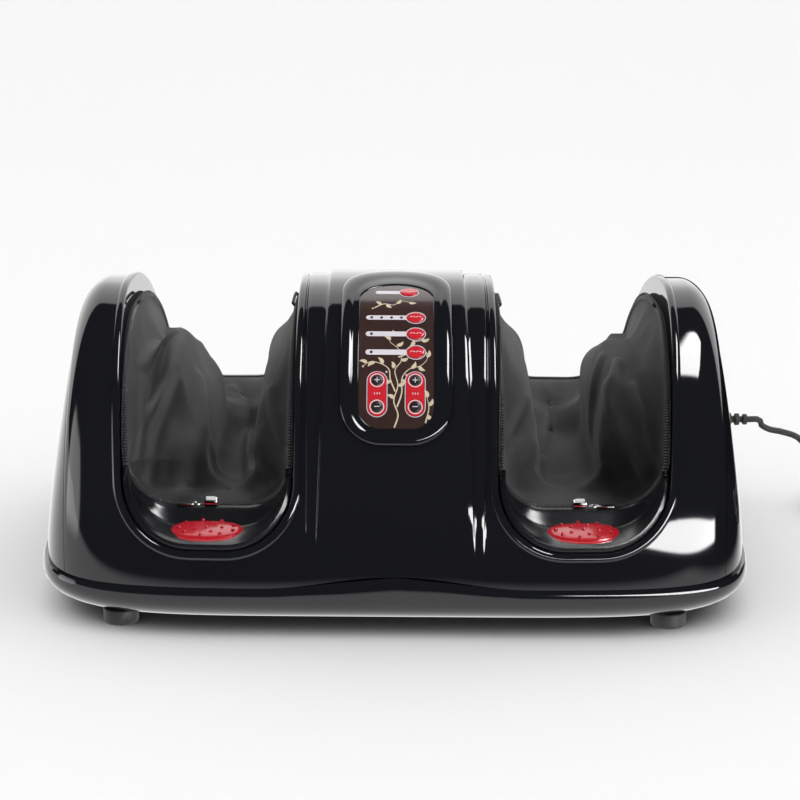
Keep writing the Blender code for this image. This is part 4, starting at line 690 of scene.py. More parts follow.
# Upper shell
BEAD = ((0.0050, 0.0), (0.0045, 0.0007), (0.0037, 0.00125), (0.0026, 0.0014), (0.0015, 0.0013), (0.0007, 0.0010),
        (0.0002, 0.0005), (0.0, -0.0002), (0.0, -0.0009), (0.0, -0.0040), (0.0, -0.0080), (0.0, -0.0120),
        (0.0, -0.0190))
FRONT_ROWS = 26
BACK_ROWS = 20
SIDE_ROWS = 110
BEAD_WIDTH = BEAD[0][0]


def strip_angles(angles):
    """All row angles of a strip whose middle rows run along the well's side."""
    front = [angles[0] * i / FRONT_ROWS for i in range(FRONT_ROWS)]
    back = [angles[-1] + (HALF_TURN - angles[-1]) * i / BACK_ROWS for i in range(1, BACK_ROWS + 1)]
    return front + list(angles) + back


def console_row(angle, edge):
    """One row of the console's top, with its raised band and steps, from the middle to a well's edge."""
    s = sizes()
    rise = ease(arch(angle)[1] - s.seam, s.fade_start, s.fade)
    height_share = (arch(angle)[1] - s.seam) / s.arch
    half = s.band_low + (s.band_top - s.band_low) * height_share
    outer = s.step_low + (s.step_top - s.step_low) * height_share
    marks = [0.0, half, half + s.step_width, outer, outer + s.step_width, edge]
    lifts = [s.band, s.band, s.step, s.step, 0.0, 0.0]
    counts = (16, 6, 4, 6, 3)
    row = []
    for i, count in enumerate(counts):
        for j in range(count + (i == len(counts) - 1)):
            t = j / count
            lift = lifts[i] + (lifts[i + 1] - lifts[i]) * ease(t, 0.0, 1.0)
            row.append((marks[i] + (marks[i + 1] - marks[i]) * t, lift * rise))
    return ([drum(-x, angle, lift) for x, lift in reversed(row[1:])]
            + [drum(x, angle, lift) for x, lift in row])


def mirrored(rows):
    return [[Vector((-p.x, p.y, p.z)) for p in row] for row in rows]


def shell_patches():
    """The drum as grids that meet along each well's outline."""
    s = sizes()
    edge = s.well_inner - BEAD_WIDTH
    inner = side_angles(edge, SIDE_ROWS)
    console = [console_row(angle, edge) for angle in strip_angles(inner)]
    outer = side_angles(s.well_outer + BEAD_WIDTH, SIDE_ROWS)
    wing = []
    for index, angle in enumerate(strip_angles(outer)):
        at_side = FRONT_ROWS <= index < FRONT_ROWS + SIDE_ROWS
        start = outer_place(angle, BEAD_WIDTH, 0.0).x if at_side else s.well_outer + BEAD_WIDTH
        flat = s.wing_end - s.wing_edge - 0.004
        row = [drum(start + (flat - start) * i / 8, angle) for i in range(8)]
        for i in range(22):
            turn = QUARTER_TURN * i / 21
            row.append(drum(s.wing_end - (s.wing_edge + 0.004) * (1 - math.sin(turn)), angle))
        wing.append(row)
    outline = u_shape(BEAD_WIDTH)
    patches = [wing]
    for back, count in ((False, FRONT_ROWS), (True, BACK_ROWS)):
        columns = []
        for x, rise in outline:
            end = outline_angle(x, rise, back, 0.0)
            start = HALF_TURN if back else 0.0
            columns.append([drum(x, start + (end - start) * i / count) for i in range(count + 1)])
        patches.append(columns)
    loops = []
    for grow, lift in BEAD:
        near, far = s.well_inner - grow, s.well_outer + grow
        up = [drum(near, angle, lift) for angle in side_angles(near, SIDE_ROWS, lift)]
        rear = [drum(x, outline_angle(x, rise, True, lift), lift) for x, rise in u_shape(grow)]
        down = [outer_place(angle, grow, lift) for angle in side_angles(far, SIDE_ROWS, lift)][::-1]
        front = [drum(x, outline_angle(x, rise, False, lift), lift) for x, rise in u_shape(grow)][::-1]
        loops.append(up + rear[1:] + down[1:] + front[1:-1])
    loops = [loop + [loop[0]] for loop in loops]
    patches.append(loops)
    return [console] + patches + [mirrored(patch) for patch in patches]


class MASSAGER_OT_shell(bpy.types.Operator):
    """Moulds the upper shell: the drum, its two beaded wells and the stepped console band"""
    bl_idname = "massager.shell"
    bl_label = "Upper shell"

    def execute(self, context):
        shape = bmesh.new()
        for patch in shell_patches():
            grid_into(shape, patch)
        bmesh.ops.remove_doubles(shape, verts=shape.verts, dist=PATCH_MERGE)
        shell = new_object("Upper_Cover", shape)
        face_up(shell)
        thicken(shell, sizes().wall)
        smooth(shell, 40)
        finish_piece(shell, "gloss black", "case", "upper_shell", slot="shell_gloss")
        return {"FINISHED"}


# Side panels
PANEL_SPREAD = 0.0022  # how far a side panel's foot swells past the case's half width


class MASSAGER_OT_side_panels(bpy.types.Operator):
    """Swells a side panel on each wing"""
    bl_idname = "massager.side_panels"
    bl_label = "Side panels"

    def execute(self, context):
        s = sizes()
        base = [HALF_TURN * i / 120 for i in range(121)]
        for side, sign in SIDES.items():
            rim = [drum(s.wing_end, angle) for angle in base]
            rows = []
            shares = [0.0, 0.0, 0.03, 0.08] + [0.14 + 0.83 * i / 22 for i in range(23)] + [0.985, 0.995]
            for index, share in enumerate(shares):
                x = s.wing_end + FIT_GAP + (s.half_width + PANEL_SPREAD - s.wing_end - FIT_GAP) * share
                depth = plan_share(min(x, s.half_width)) / plan_share(s.wing_end)
                height = (1 - share ** 1.15) ** (1 / 1.15)
                if index == 0:
                    depth *= 0.985
                    height *= 0.985
                rows.append([(sign * x, p.y * depth, s.seam + (p.z - s.seam) * height) for p in rim])
            panel = smooth(open_sheet("Side_Panel_" + side.title(), rows), 50)
            finish_piece(panel, "gloss black", "case", "side_panel_" + side, slot="shell_gloss")
        return {"FINISHED"}


# Base tray and feet
FOOT_X, FOOT_Y, FOOT_RADIUS = 0.172, 0.142, 0.011
TRAY_SPREAD = 0.0020
# The tray's section: how far down, as a share of its height, and how far in, as a share of its inset
TRAY_SECTION = ((0.004, 1.2), (0.0, 0.35), (0.0, 0.0), (0.04, -0.03), (0.14, -0.07), (0.30, -0.08), (0.46, -0.02),
                (0.60, 0.11), (0.72, 0.27), (0.82, 0.47), (0.90, 0.68), (0.96, 0.89), (0.99, 1.04), (1.0, 1.16))


def tray_outline(inset, count=240):
    s = sizes()
    power = 2 / PLAN_POWER
    points = []
    for i in range(count):
        turn = 2 * HALF_TURN * i / count
        c, n = math.cos(turn), math.sin(turn)
        points.append(((s.half_width + TRAY_SPREAD - inset) * math.copysign(abs(c) ** power, c),
                       (s.half_depth - inset) * math.copysign(abs(n) ** power, n)))
    return points


class MASSAGER_OT_tray(bpy.types.Operator):
    """Moulds the base tray below the wavy seam and stands it on four rubber feet"""
    bl_idname = "massager.tray"
    bl_label = "Base tray and feet"

    def execute(self, context):
        s = sizes()
        depth = s.seam - s.foot
        rings = []
        for down, inset_share in TRAY_SECTION:
            inset = s.tray_inset * inset_share
            ring = []
            for x, y in tray_outline(inset):
                top = s.seam + seam_wave(x, y) * (1 - ease(down, 0.0, 0.6)) - FIT_GAP
                ring.append((x, y, top - depth * down))
            rings.append(ring)
        tray = loft("Base_Tray", rings, 40)
        finish_piece(tray, "gloss black", "case", "base_tray", slot="shell_gloss")
        for row, y in (("front", -FOOT_Y), ("rear", FOOT_Y)):
            for side, sign in SIDES.items():
                tall = s.foot - FIT_GAP
                bpy.ops.object.select_all(action="DESELECT")
                bpy.ops.mesh.primitive_cylinder_add(vertices=48, radius=FOOT_RADIUS, depth=tall,
                                                    location=(sign * FOOT_X, y, tall / 2))
                foot = rounded(applied(context.object), 0.0013)
                foot.name = f"Foot_{row.title()}_{side.title()}"
                finish_piece(foot, "black rubber", "case", f"foot_{row}_{side}", slot="rubber_black")
        return {"FINISHED"}


# Toe ledges and pads
LEDGE_THICKNESS = 0.0025
LEDGE_TIP = 0.105
LEDGE_INSET = 0.0031
FRONT_RADIUS = 0.032  # radius of the ledge's and the zip's corners at the front
PAD_HALF_WIDTH = 0.0525 / 2
PAD_HALF_DEPTH = 0.0335 / 2
PAD_SHARE = 0.48


class LedgeLine:
    """Places that a ledge, its zip and its lining share."""

    def __init__(self):
        s = sizes()
        self.front = arch(angle_at_height(s.well_front))[0] + 0.0025
        self.back = self.front + s.ledge_depth
        self.bottom = well_bottom(self.front) + 0.0006
        self.back_top = self.bottom + s.ledge_rise + LEDGE_THICKNESS
        self.start_z = self.back_top + LEDGE_THICKNESS / 2
        self.end_y = arch(angle_at_height(LEDGE_TIP))[0] + 0.0050 - 0.0016


def ledge_edge_y(z):
    line = LedgeLine()
    return line.back + (line.end_y - line.back) / (LEDGE_TIP - line.start_z) * max(0.0, z - line.start_z)


def u_line(inset, bottom, radius, top, fine=12, flat=10, tall=6):
    """A plain U from the console side to the wing side of the well."""
    s = sizes()
    left, right, low = s.well_inner + inset, s.well_outer - inset, bottom + radius
    return ([(left, top)] + between((left, top), (left, low), tall)
            + arc(left + radius, low, radius, HALF_TURN, QUARTER_TURN, fine)
            + between((left + radius, bottom), (right - radius, bottom), flat)
            + arc(right - radius, low, radius, HALF_TURN + QUARTER_TURN, QUARTER_TURN, fine)
            + between((right, low), (right, top), tall) + [(right, top)])


def ledge_share(share):
    """The ledge lies nearly flat under its pad and climbs to the zip behind it."""
    return 0.36 * share + 0.64 * ease(share, 0.66, 0.34)


def in_well(side, x, y, z):
    return Vector((SIDES[side] * x, y * plan_share(x), z))


class MASSAGER_OT_ledges(bpy.types.Operator):
    """Fits a glossy toe ledge with its oval red pad in the front of each well"""
    bl_idname = "massager.ledges"
    bl_label = "Toe ledges and pads"

    def execute(self, context):
        for side in SIDES:
            self.ledge(side)
            self.pad(side)
        return {"FINISHED"}

    def ledge(self, side):
        s = sizes()
        bottom = LedgeLine().bottom
        rows = []
        count = 18
        for i in range(-2, count + 2):
            share = min(1.0, max(0.0, i / (count - 1)))
            drop = {-2: 0.0022, -1: 0.0007, count + 1: 0.0022}.get(i, 0.0)
            base = bottom + s.ledge_rise * ledge_share(share) + LEDGE_THICKNESS
            radius = s.well_radius - LEDGE_INSET + (FRONT_RADIUS - s.well_radius) * share
            row = []
            for x, z in u_line(LEDGE_INSET, base, radius, LEDGE_TIP):
                near = arch(angle_at_height(z))[0] + 0.0030
                far = max(near + 0.0004, ledge_edge_y(z))
                row.append(in_well(side, x, near + (far - near) * share + (0.0005 if i == -2 else 0.0),
                                   z - drop))
            rows.append(row)
        ledge = open_sheet("Toe_Ledge_" + side.title(), rows)
        thicken(ledge, 0.0018, even=False)
        smooth(ledge, 40)
        finish_piece(ledge, "ledge black", "case", "toe_ledge_" + side, slot="shell_gloss")

    def pad(self, side):
        s = sizes()
        line = LedgeLine()
        half, deep = PAD_HALF_WIDTH, PAD_HALF_DEPTH
        middle = SIDES[side] * ((s.well_inner + s.well_outer) / 2 + 0.0010)
        slope = math.atan2(0.36 * s.ledge_rise, s.ledge_depth)
        y = line.front + s.ledge_depth * PAD_SHARE + 0.0012
        z = line.bottom + s.ledge_rise * ledge_share(PAD_SHARE) + LEDGE_THICKNESS + 0.0004
        profile = ((1.03, -0.0004), (1.03, 0.0004), (1.0, 0.0011), (0.965, 0.0017), (0.93, 0.0019),
                   (0.90, 0.0016), (0.87, 0.0017), (0.83, 0.0024), (0.76, 0.0029), (0.6, 0.0033),
                   (0.4, 0.0035), (0.2, 0.0036), (0.02, 0.0036))
        rings = [[(u * half * size, v * deep * size, rise) for u, v in ring_points(1.0, 64)]
                 for size, rise in profile]
        shape = bmesh.new()
        capped_into(shape, rings)
        nubs = [(0.0, 0.0)]
        nubs += [(0.36 * math.cos(t), 0.40 * math.sin(t)) for t in [HALF_TURN * i / 2.5 for i in range(5)]]
        nubs += [(0.66 * math.cos(t), 0.64 * math.sin(t))
                 for t in [HALF_TURN * (i + 0.5) / 4.5 for i in range(9)]]
        for u, v in nubs:
            dome = [[(u * half + a * w, v * deep + b * w, 0.0028 + h) for a, b in ring_points(0.00125, 12)]
                    for w, h in ((1.0, 0.0), (1.0, 0.0008), (0.85, 0.0013), (0.5, 0.0017), (0.1, 0.0018))]
            made = grid_into(shape, dome, closed=True)
            shape.faces.new(made[-1][::-1])
        pad = solid("Heat_Pad_" + side.title(), shape, 60)
        pad.location = (middle, y * plan_share(middle), z)
        pad.rotation_euler = (slope, 0.0, 0.0)
        applied(pad)
        finish_piece(pad, "red gel", "case", "heat_pad_" + side, slot="gel_red")


# Zips
ZIP_DEPTH = 0.0050
ZIP_CREST = 0.0105
ZIP_RADIUS = 0.0016
ZIP_INSET = 0.0022
ZIP_STANDOFF = 1.8 * ZIP_RADIUS
ZIP_OVER_LEDGE = 0.0030
ZIP_PITCH = 0.0018
ZIP_BOW = Vector((0.1155, -0.01, 0.135))  # what the right-hand zip's coil faces
HEM_INSIDE = 0.0034


def sunk(angle, depth):
    """Place on the arch below the shell: the zip lies deeper round the crest."""
    return arch(angle, -depth - ZIP_CREST * math.sin(angle) ** 4)


def arch_span(depth, past_y, past_z):
    """Angles between which the sunk arch lies behind past_y and, at the back, over past_z."""
    steps = [HALF_TURN * i / 720 for i in range(721)]
    first = next(a for a in steps if sunk(a, depth)[0] > past_y)
    last = [a for a in steps if a > QUARTER_TURN and sunk(a, depth)[1] > past_z][-1]
    return first, last


def rim_path():
    """Even places on a loop just inside the right-hand well's lip."""
    s = sizes()
    back_top = LedgeLine().back_top
    front_inset = ZIP_INSET + ZIP_OVER_LEDGE
    middle = (s.well_inner + s.well_outer) / 2
    front = []
    for x, z in u_line(front_inset, back_top, FRONT_RADIUS - front_inset, LEDGE_TIP):
        outward = math.copysign(ZIP_OVER_LEDGE * ease(z, LEDGE_TIP - 0.017, 0.017), x - middle)
        front.append((x + outward, ledge_edge_y(z) + ZIP_STANDOFF,
                      z + 0.0006 * (1 - ease(z, back_top, 0.030))))
    back_bottom = well_bottom(s.half_depth) + ZIP_INSET
    rear_top = back_bottom + s.well_radius
    rear = [(x, arch(angle_at_height(z, True, -ZIP_DEPTH), -ZIP_DEPTH)[0], z)
            for x, z in u_line(ZIP_INSET, back_bottom, s.well_radius - ZIP_INSET, rear_top, tall=1)]
    first, last = arch_span(ZIP_DEPTH, front[0][1] + ZIP_DEPTH, rear_top + ZIP_DEPTH)
    run = [sunk(first + (last - first) * i / 49, ZIP_DEPTH) for i in range(50)]
    far = [(s.well_outer - ZIP_INSET + well_lean(y, z), y, z) for y, z in run]
    near = [(s.well_inner + ZIP_INSET, y, z) for y, z in run]
    loop = [Vector(p) for p in front + far + rear[::-1] + near[::-1]]
    return spaced(loop + [loop[0]], ZIP_PITCH, closed=True)


def loop_frames(points, centre):
    """Each place of a loop with its run, its inward and its outward directions."""
    frames = []
    count = len(points)
    for i, p in enumerate(points):
        along = (points[(i + 1) % count] - points[i - 1]).normalized()
        inward = Vector((centre.x - p.x, -0.10 * p.y - 0.012, centre.z - p.z))
        inward = (inward - along * inward.dot(along)).normalized()
        frames.append((p, along, inward, along.cross(inward).normalized()))
    return frames


class MASSAGER_OT_zips(bpy.types.Operator):
    """Runs a zip round each well, with its tape, teeth, slider and pull"""
    bl_idname = "massager.zips"
    bl_label = "Zips"

    def execute(self, context):
        for side in SIDES:
            centre = Vector((SIDES[side] * ZIP_BOW.x, ZIP_BOW.y, ZIP_BOW.z))
            frames = loop_frames([in_well(side, *place) for place in rim_path()], centre)
            self.tape(side, frames)
            self.teeth(side, frames)
            self.hem(side, frames, centre)
            self.slider(side)
        return {"FINISHED"}

    def tape(self, side, frames):
        section = ((-0.0020, -0.0002), (-0.0014, -0.0006), (0.0, -0.0008), (0.0014, -0.0006),
                   (0.0030, -0.0004), (0.0030, -0.0012), (0.0, -0.0016), (-0.0020, -0.0012))
        rows = [[p + inward * v + across * u for u, v in section] for p, _, inward, across in frames]
        tape = hoop("Zip_Tape_" + side.title(), rows, 60)
        finish_piece(tape, "black polyester", "case", "zip_" + side, slot="satin_black")

    def teeth(self, side, frames):
        """A ribbed coil: a row of small eight-sided discs."""
        shape = bmesh.new()
        for p, along, inward, across in frames:
            rings = [[p + along * a + (across * u + inward * (v + 0.0005)) for u, v in ring_points(radius, 8)]
                     for a, radius in ((-0.00055, 0.0012), (-0.0003, 0.0017), (0.0003, 0.0017),
                                       (0.00055, 0.0012))]
            capped_into(shape, rings)
        teeth = solid("Zip_Teeth_" + side.title(), shape, 50, True)
        finish_piece(teeth, "zip coil", "case", slot="satin_black")

    def hem(self, side, frames, centre):
        """The turned edge of the lining beside the coil."""
        rows = []
        for p, _, inward, across in frames:
            within = math.copysign(HEM_INSIDE, across.dot(centre - p))
            rows.append([p + inward * (0.0006 + v) + across * (within + u)
                         for u, v in ring_points(0.0010, 10)])
        hem = hoop("Lining_Hem_" + side.title(), rows, 60)
        finish_piece(hem, "black polyester", "case", slot="lining_fabric")

    def slider(self, side):
        s = sizes()
        sign = SIDES[side]
        middle = sign * (s.well_inner + s.well_outer) / 2
        line = LedgeLine()
        y = (line.back + ZIP_STANDOFF + 0.0010) * plan_share(middle)
        low = line.back_top + ZIP_RADIUS + FIT_GAP
        middle_y, pull_y, pull_z = y - 0.0012, y - 0.0026, low + 0.0006
        body = rounded(block("Zip_Slider_" + side.title(), (middle, middle_y, low + 0.0017),
                             (0.009, 0.007, 0.0034)),
                       0.0009)
        finish_piece(body, "nickel", "case", "zip_slider_" + side, slot="nickel")
        start = middle + sign * 0.0048
        bridge = rounded(block("Bridge", (middle, middle_y, low + 0.0040), (0.0062, 0.0024, 0.0016)), 0.0006)
        self.joined(body, bridge)
        pull = rounded(block("Zip_Pull_" + side.title(), (start + sign * 0.0112, pull_y, pull_z),
                             (0.0108, 0.0044, 0.0011)), 0.0004)
        bpy.ops.object.select_all(action="DESELECT")
        bpy.ops.mesh.primitive_torus_add(major_radius=0.0024, minor_radius=0.0005, major_segments=32,
                                         minor_segments=10, location=(start + sign * 0.0037, pull_y, pull_z))
        self.joined(pull, smooth(bpy.context.object, 60))
        finish_piece(pull, "nickel", "pull_" + side, "zip_pull_" + side, slot="nickel")

    def joined(self, item, other):
        only(item)
        other.select_set(True)
        bpy.ops.object.join()


# Fabric linings
LINING_INSET = 0.0032
LINING_FLOOR = 0.063
LINING_CORNER = 0.013
STATIONS = 150
WALL_PLACES, BEND_PLACES, FLOOR_PLACES = 60, 10, 18
MIDDLE_TOP = 0.176
MIDDLE_FOOT = 0.083
MOUND_FALL = 0.24  # how steeply a mound falls to the back
# Height that the linings keep over the kneading plates
OVER_PLATES = {"left": 0.1436, "right": 0.1418}
# Each wall's swell over its kneading plate at the middle of the well: how far in, and how high
INNER_SWELL = ((0.0, 0.176), (0.0015, 0.170), (0.0050, 0.163), (0.0115, 0.151), (0.0185, 0.140), (0.0225, 0.129),
               (0.0245, 0.115), (0.0255, 0.100), (0.0245, 0.083))
OUTER_SWELL = {
    "left": ((0.0, 0.176), (0.0012, 0.170), (0.0042, 0.1620), (0.0075, 0.1540), (0.0105, 0.1500), (0.0145, 0.1505),
             (0.0195, 0.1550), (0.0240, 0.1562), (0.0285, 0.1525), (0.0310, 0.1440), (0.0340, 0.1330),
             (0.0380, 0.1220), (0.0425, 0.1060), (0.0450, 0.083)),
    "right": ((0.0, 0.176), (0.0010, 0.170), (0.0040, 0.1620), (0.0080, 0.1545), (0.0120, 0.1510), (0.0180, 0.1508),
              (0.0240, 0.1515), (0.0280, 0.1490), (0.0310, 0.1430), (0.0335, 0.1330), (0.0350, 0.1180),
              (0.0355, 0.1010), (0.0340, 0.083))}


def lining_station(share):
    s = sizes()
    line = LedgeLine()
    depth = ZIP_DEPTH + ZIP_RADIUS
    back_bottom = well_bottom(s.half_depth) + LINING_INSET
    first, last = arch_span(depth, line.end_y + ZIP_STANDOFF + ZIP_RADIUS, back_bottom + s.well_radius)
    rim_y, rim_z = sunk(first + (last - first) * share, depth)
    floor_front = line.back + ZIP_STANDOFF + ZIP_RADIUS
    floor_back = arch(angle_at_height(back_bottom, True))[0] - s.lip * 0.8
    floor_y = floor_front + (floor_back - floor_front) * share
    front_rise = (line.back_top + 0.0016 - LINING_FLOOR) * (1 - ease(share, 0.0, 0.42)) ** 1.15
    back_rise = (back_bottom - LINING_FLOOR) * ease(share, 0.72, 0.28)
    return rim_y, rim_z, floor_y, LINING_FLOOR + front_rise + back_rise


def mound_share(y, height, tall):
    """How much of the swell is left at a place; the mound's foot runs further to the front than its crown."""
    reach = abs(y) * (1 - 0.24 * (1 - height)) if y < 0 else y
    return (1 - ease(reach, 0.070, 0.080)) * ease(tall, 0.0, 0.062)


def along_swell(swell, share):
    """A smooth place on a wall's swell: how far in, and the height as a share of the wall."""
    place = share * (len(swell) - 1)
    i = min(int(place), len(swell) - 2)
    four = (Vector(swell[min(max(j, 0), len(swell) - 1)]) for j in range(i - 1, i + 3))
    point = through(*four, place - i)
    return point.x, (point.y - MIDDLE_FOOT) / (MIDDLE_TOP - MIDDLE_FOOT)


def lining_row(share, side):
    """A row of places across the well, from the rim at the console to the rim at the wing."""
    s = sizes()
    rim_y, rim_z, floor_y, floor_z = lining_station(share)
    at_front, at_back = 1 - ease(share, 0.0, 0.32), ease(share, 0.65, 0.25)
    radius = LINING_CORNER + (FRONT_RADIUS - ZIP_INSET - LINING_CORNER) * at_front
    radius += (s.well_radius - LINING_INSET - LINING_CORNER) * at_back
    radius = min(radius, (rim_z - floor_z) * 0.9)
    foot = floor_z + radius

    def depth_y(z):
        return rim_y + (floor_y - rim_y) * (rim_z - z) / (rim_z - floor_z)

    def wall(swell, inner):
        places = []
        for i in range(WALL_PLACES):
            t = i / (WALL_PLACES - 1)
            out, height = along_swell(swell, t)
            middle = mound_share(depth_y(foot + (rim_z - foot) * height), min(1.0, max(0.0, height)),
                                 rim_z - foot)
            height = (1 - t) + (height - (1 - t)) * middle
            z = foot + (rim_z - foot) * height
            y = depth_y(z)
            if not inner:
                fallen = z - MOUND_FALL * max(0.0, y) * math.sin(HALF_TURN * t) ** 0.7
                over_plate = (1 - ease(out, 0.0165, 0.0075)) * (1 - ease(y, 0.055, 0.022))
                z = fallen + max(0.0, min(z, OVER_PLATES[side]) - fallen) * over_plate
            if inner:
                x = s.well_inner + LINING_INSET + out * middle
            else:
                x = s.well_outer + well_lean(y, z) - LINING_INSET - out * middle
            places.append(Vector((x, y, z)))
        return places

    inner, outer = wall(INNER_SWELL, True), wall(OUTER_SWELL[side], False)
    left, right = inner[-1].x, outer[-1].x
    bends = []
    for i in range(1, BEND_PLACES + 1):
        turn = HALF_TURN + QUARTER_TURN * i / BEND_PLACES
        z = foot + radius * math.sin(turn)
        bends.append((radius + radius * math.cos(turn), depth_y(z), z))
    floor = [Vector((left + x, y, z)) for x, y, z in bends]
    flat = right - left - 2 * radius
    floor += [Vector((left + radius + flat * i / FLOOR_PLACES, floor_y, floor_z))
              for i in range(1, FLOOR_PLACES)]
    floor += [Vector((right - x, y, z)) for x, y, z in reversed(bends)]
    return inner + floor + outer[::-1]


FOLD_GAIN = 1.6
# Folds: how high, how wide, and the places that each runs through, for the left well and the right one
FOLDS = {
    "left": (
        (0.0030, 0.0040, ((-0.1407, -0.0822, 0.1396), (-0.1468, -0.0943, 0.1243), (-0.1523, -0.1069, 0.1047),
                          (-0.1560, -0.1250, 0.0850), (-0.1520, -0.1380, 0.0800))),
        (0.0024, 0.0030, ((-0.1500, -0.0918, 0.1361), (-0.1545, -0.1000, 0.1270), (-0.1582, -0.1079, 0.1193))),
        (0.0022, 0.0032, ((-0.1615, -0.0903, 0.1435), (-0.1608, -0.1129, 0.1194), (-0.1609, -0.1284, 0.0945))),
        (0.0030, 0.0034, ((-0.1480, -0.0100, 0.1540), (-0.1573, -0.0305, 0.1508), (-0.1604, -0.0625, 0.1524),
                          (-0.1626, -0.0847, 0.1499))),
        (0.0040, 0.0062, ((-0.1309, -0.0274, 0.1270), (-0.1290, -0.0550, 0.1170), (-0.1270, -0.0770, 0.1071),
                          (-0.1305, -0.0928, 0.0880), (-0.1300, -0.1180, 0.0770), (-0.1290, -0.1400, 0.0760))),
        (0.0038, 0.0042, ((-0.1206, 0.1284, 0.0815), (-0.1086, 0.1009, 0.0715), (-0.1030, 0.0500, 0.0650),
                          (-0.1006, 0.0072, 0.0633), (-0.0950, -0.0400, 0.0670), (-0.0898, -0.0778, 0.0732),
                          (-0.0838, -0.1046, 0.0745), (-0.0780, -0.1380, 0.0780))),
        (0.0026, 0.0034, ((-0.0813, -0.0977, 0.1125), (-0.0826, -0.1005, 0.0894), (-0.0730, -0.1280, 0.0830))),
        (0.0024, 0.0036, ((-0.0792, -0.0849, 0.1354), (-0.0750, -0.1040, 0.1220), (-0.0699, -0.1226, 0.1130))),
        (0.0020, 0.0050, ((-0.1220, -0.0532, 0.0930), (-0.1194, -0.0489, 0.0712))),
        (0.0024, 0.0036, ((-0.1425, -0.0971, 0.1053), (-0.1440, -0.1040, 0.0940), (-0.1462, -0.1090, 0.0822)))),
    "right": (
        (0.0034, 0.0044, ((0.1370, -0.0700, 0.1360), (0.1393, -0.0868, 0.1236), (0.1474, -0.1007, 0.1083),
                          (0.1566, -0.1203, 0.0943), (0.1590, -0.1330, 0.0850))),
        (0.0026, 0.0034, ((0.1510, -0.0865, 0.1387), (0.1572, -0.1043, 0.1258), (0.1612, -0.1193, 0.1097))),
        (0.0034, 0.0036, ((0.0687, -0.1273, 0.1114), (0.0800, -0.1014, 0.1093), (0.0870, -0.0700, 0.1080))),
        (0.0034, 0.0040, ((0.0820, -0.0997, 0.0797), (0.0900, -0.0650, 0.0700), (0.0937, -0.0350, 0.0672),
                          (0.0984, 0.0097, 0.0640))),
        (0.0022, 0.0036, ((0.1113, 0.1080, 0.0718), (0.1069, 0.0818, 0.0640), (0.1026, 0.0329, 0.0631))),
        (0.0030, 0.0050, ((0.1354, -0.0208, 0.1409), (0.1317, -0.0317, 0.1231), (0.1309, -0.0400, 0.0950))),
        (0.0024, 0.0036, ((0.1430, -0.0600, 0.1500), (0.1402, -0.0772, 0.1415), (0.1390, -0.0860, 0.1280))),
        (0.0026, 0.0036, ((0.0824, -0.0840, 0.1297), (0.0752, -0.1045, 0.1220), (0.0690, -0.1220, 0.1160))))}


def seen_from_ahead(place):
    """A place turned to the view from in front and above, with its depth made to count little."""
    x, y, z = place
    return Vector((x, 0.966 * z + 0.259 * y, 0.45 * (0.966 * y - 0.259 * z)))


def fold_rise(place, folds):
    """How far the folds lift the lining at a place, and how much painted light or shade the cloth gets there."""
    place = seen_from_ahead(place)
    rise, light = 0.0, 0.0
    for height, width, route in folds:
        best, along, offset = None, 0.0, 0.0
        for i, (a, b) in enumerate(zip(route, route[1:])):
            a, b = seen_from_ahead(a), seen_from_ahead(b)
            t = min(1.0, max(0.0, (place - a).dot(b - a) / (b - a).length_squared))
            away = place - a.lerp(b, t)
            if best is None or away.length < best:
                best, along = away.length, (i + t) / (len(route) - 1)
                offset = (b - a).cross(away).z / (b - a).length
        if best < 4 * width:
            taper = math.sin(HALF_TURN * min(1.0, 0.12 + 0.80 * along)) ** 0.6
            near = math.exp(-(best / width) ** 2)
            rise += FOLD_GAIN * height * taper * (near - 0.20 * math.exp(-(best / width / 2.2) ** 2))
            # Painted light and shade: one side of each fold is lighter and the other darker, as if lit from one
            # side.
            light += height / 0.003 * taper * near * (0.25 - 1.3 * offset / width)
    return rise, light


def wrinkled(item, side, rim_rows):
    """Raises folds and small creases along the normals of a lining, and stores painted light and shade for them:
    each fold lit on one side and shaded on the other, deeper creases darker.
    """
    mesh = item.data
    shade = mesh.attributes.new("painted_fold_shade", "FLOAT", "POINT")
    moves = []
    for index, vertex in enumerate(mesh.vertices):
        place = vertex.co
        inside = 1 - rim_rows[index]
        crease = abs(noise.noise(Vector((place.x * 55, place.y * 22, place.z * 40 + 7))))
        soft = noise.noise(Vector((place.x * 24, place.y * 12, place.z * 20 + 3)))
        rise, light = fold_rise(place, FOLDS[side])
        rise += 0.0009 * (0.5 - crease) + 0.0010 * soft
        # Painted light and shade: the folds' lit and shaded sides, lighter soft swells and darker deep creases.
        shade.data[index].value = inside * (light + 0.5 * soft + 0.5 * (0.25 - crease))
        moves.append(vertex.normal * rise * inside)
    for vertex, move in zip(mesh.vertices, moves):
        vertex.co += move
    mesh.update()


class MASSAGER_OT_linings(bpy.types.Operator):
    """Hangs a fabric lining in each well, from its zip over the kneading mounds"""
    bl_idname = "massager.linings"
    bl_label = "Fabric linings"

    def execute(self, context):
        for side in SIDES:
            rows = [lining_row(i / (STATIONS - 1), side) for i in range(STATIONS)]
            lining = open_sheet("Lining_" + side.title(), [[in_well(side, *p) for p in row] for row in rows],
                                keep_doubles=True)
            width = len(rows[0])
            near_rim = []
            for index in range(len(lining.data.vertices)):
                row, column = divmod(index, width)
                edge = min(min(row, STATIONS - 1 - row) / 7, min(column, width - 1 - column) / 6)
                near_rim.append(1 - ease(edge, 0.0, 1.0))
            wrinkled(lining, side, near_rim)
            smooth(lining, 180)
            finish_piece(lining, "black polyester", "case", "lining_" + side, slot="lining_fabric")
        return {"FINISHED"}


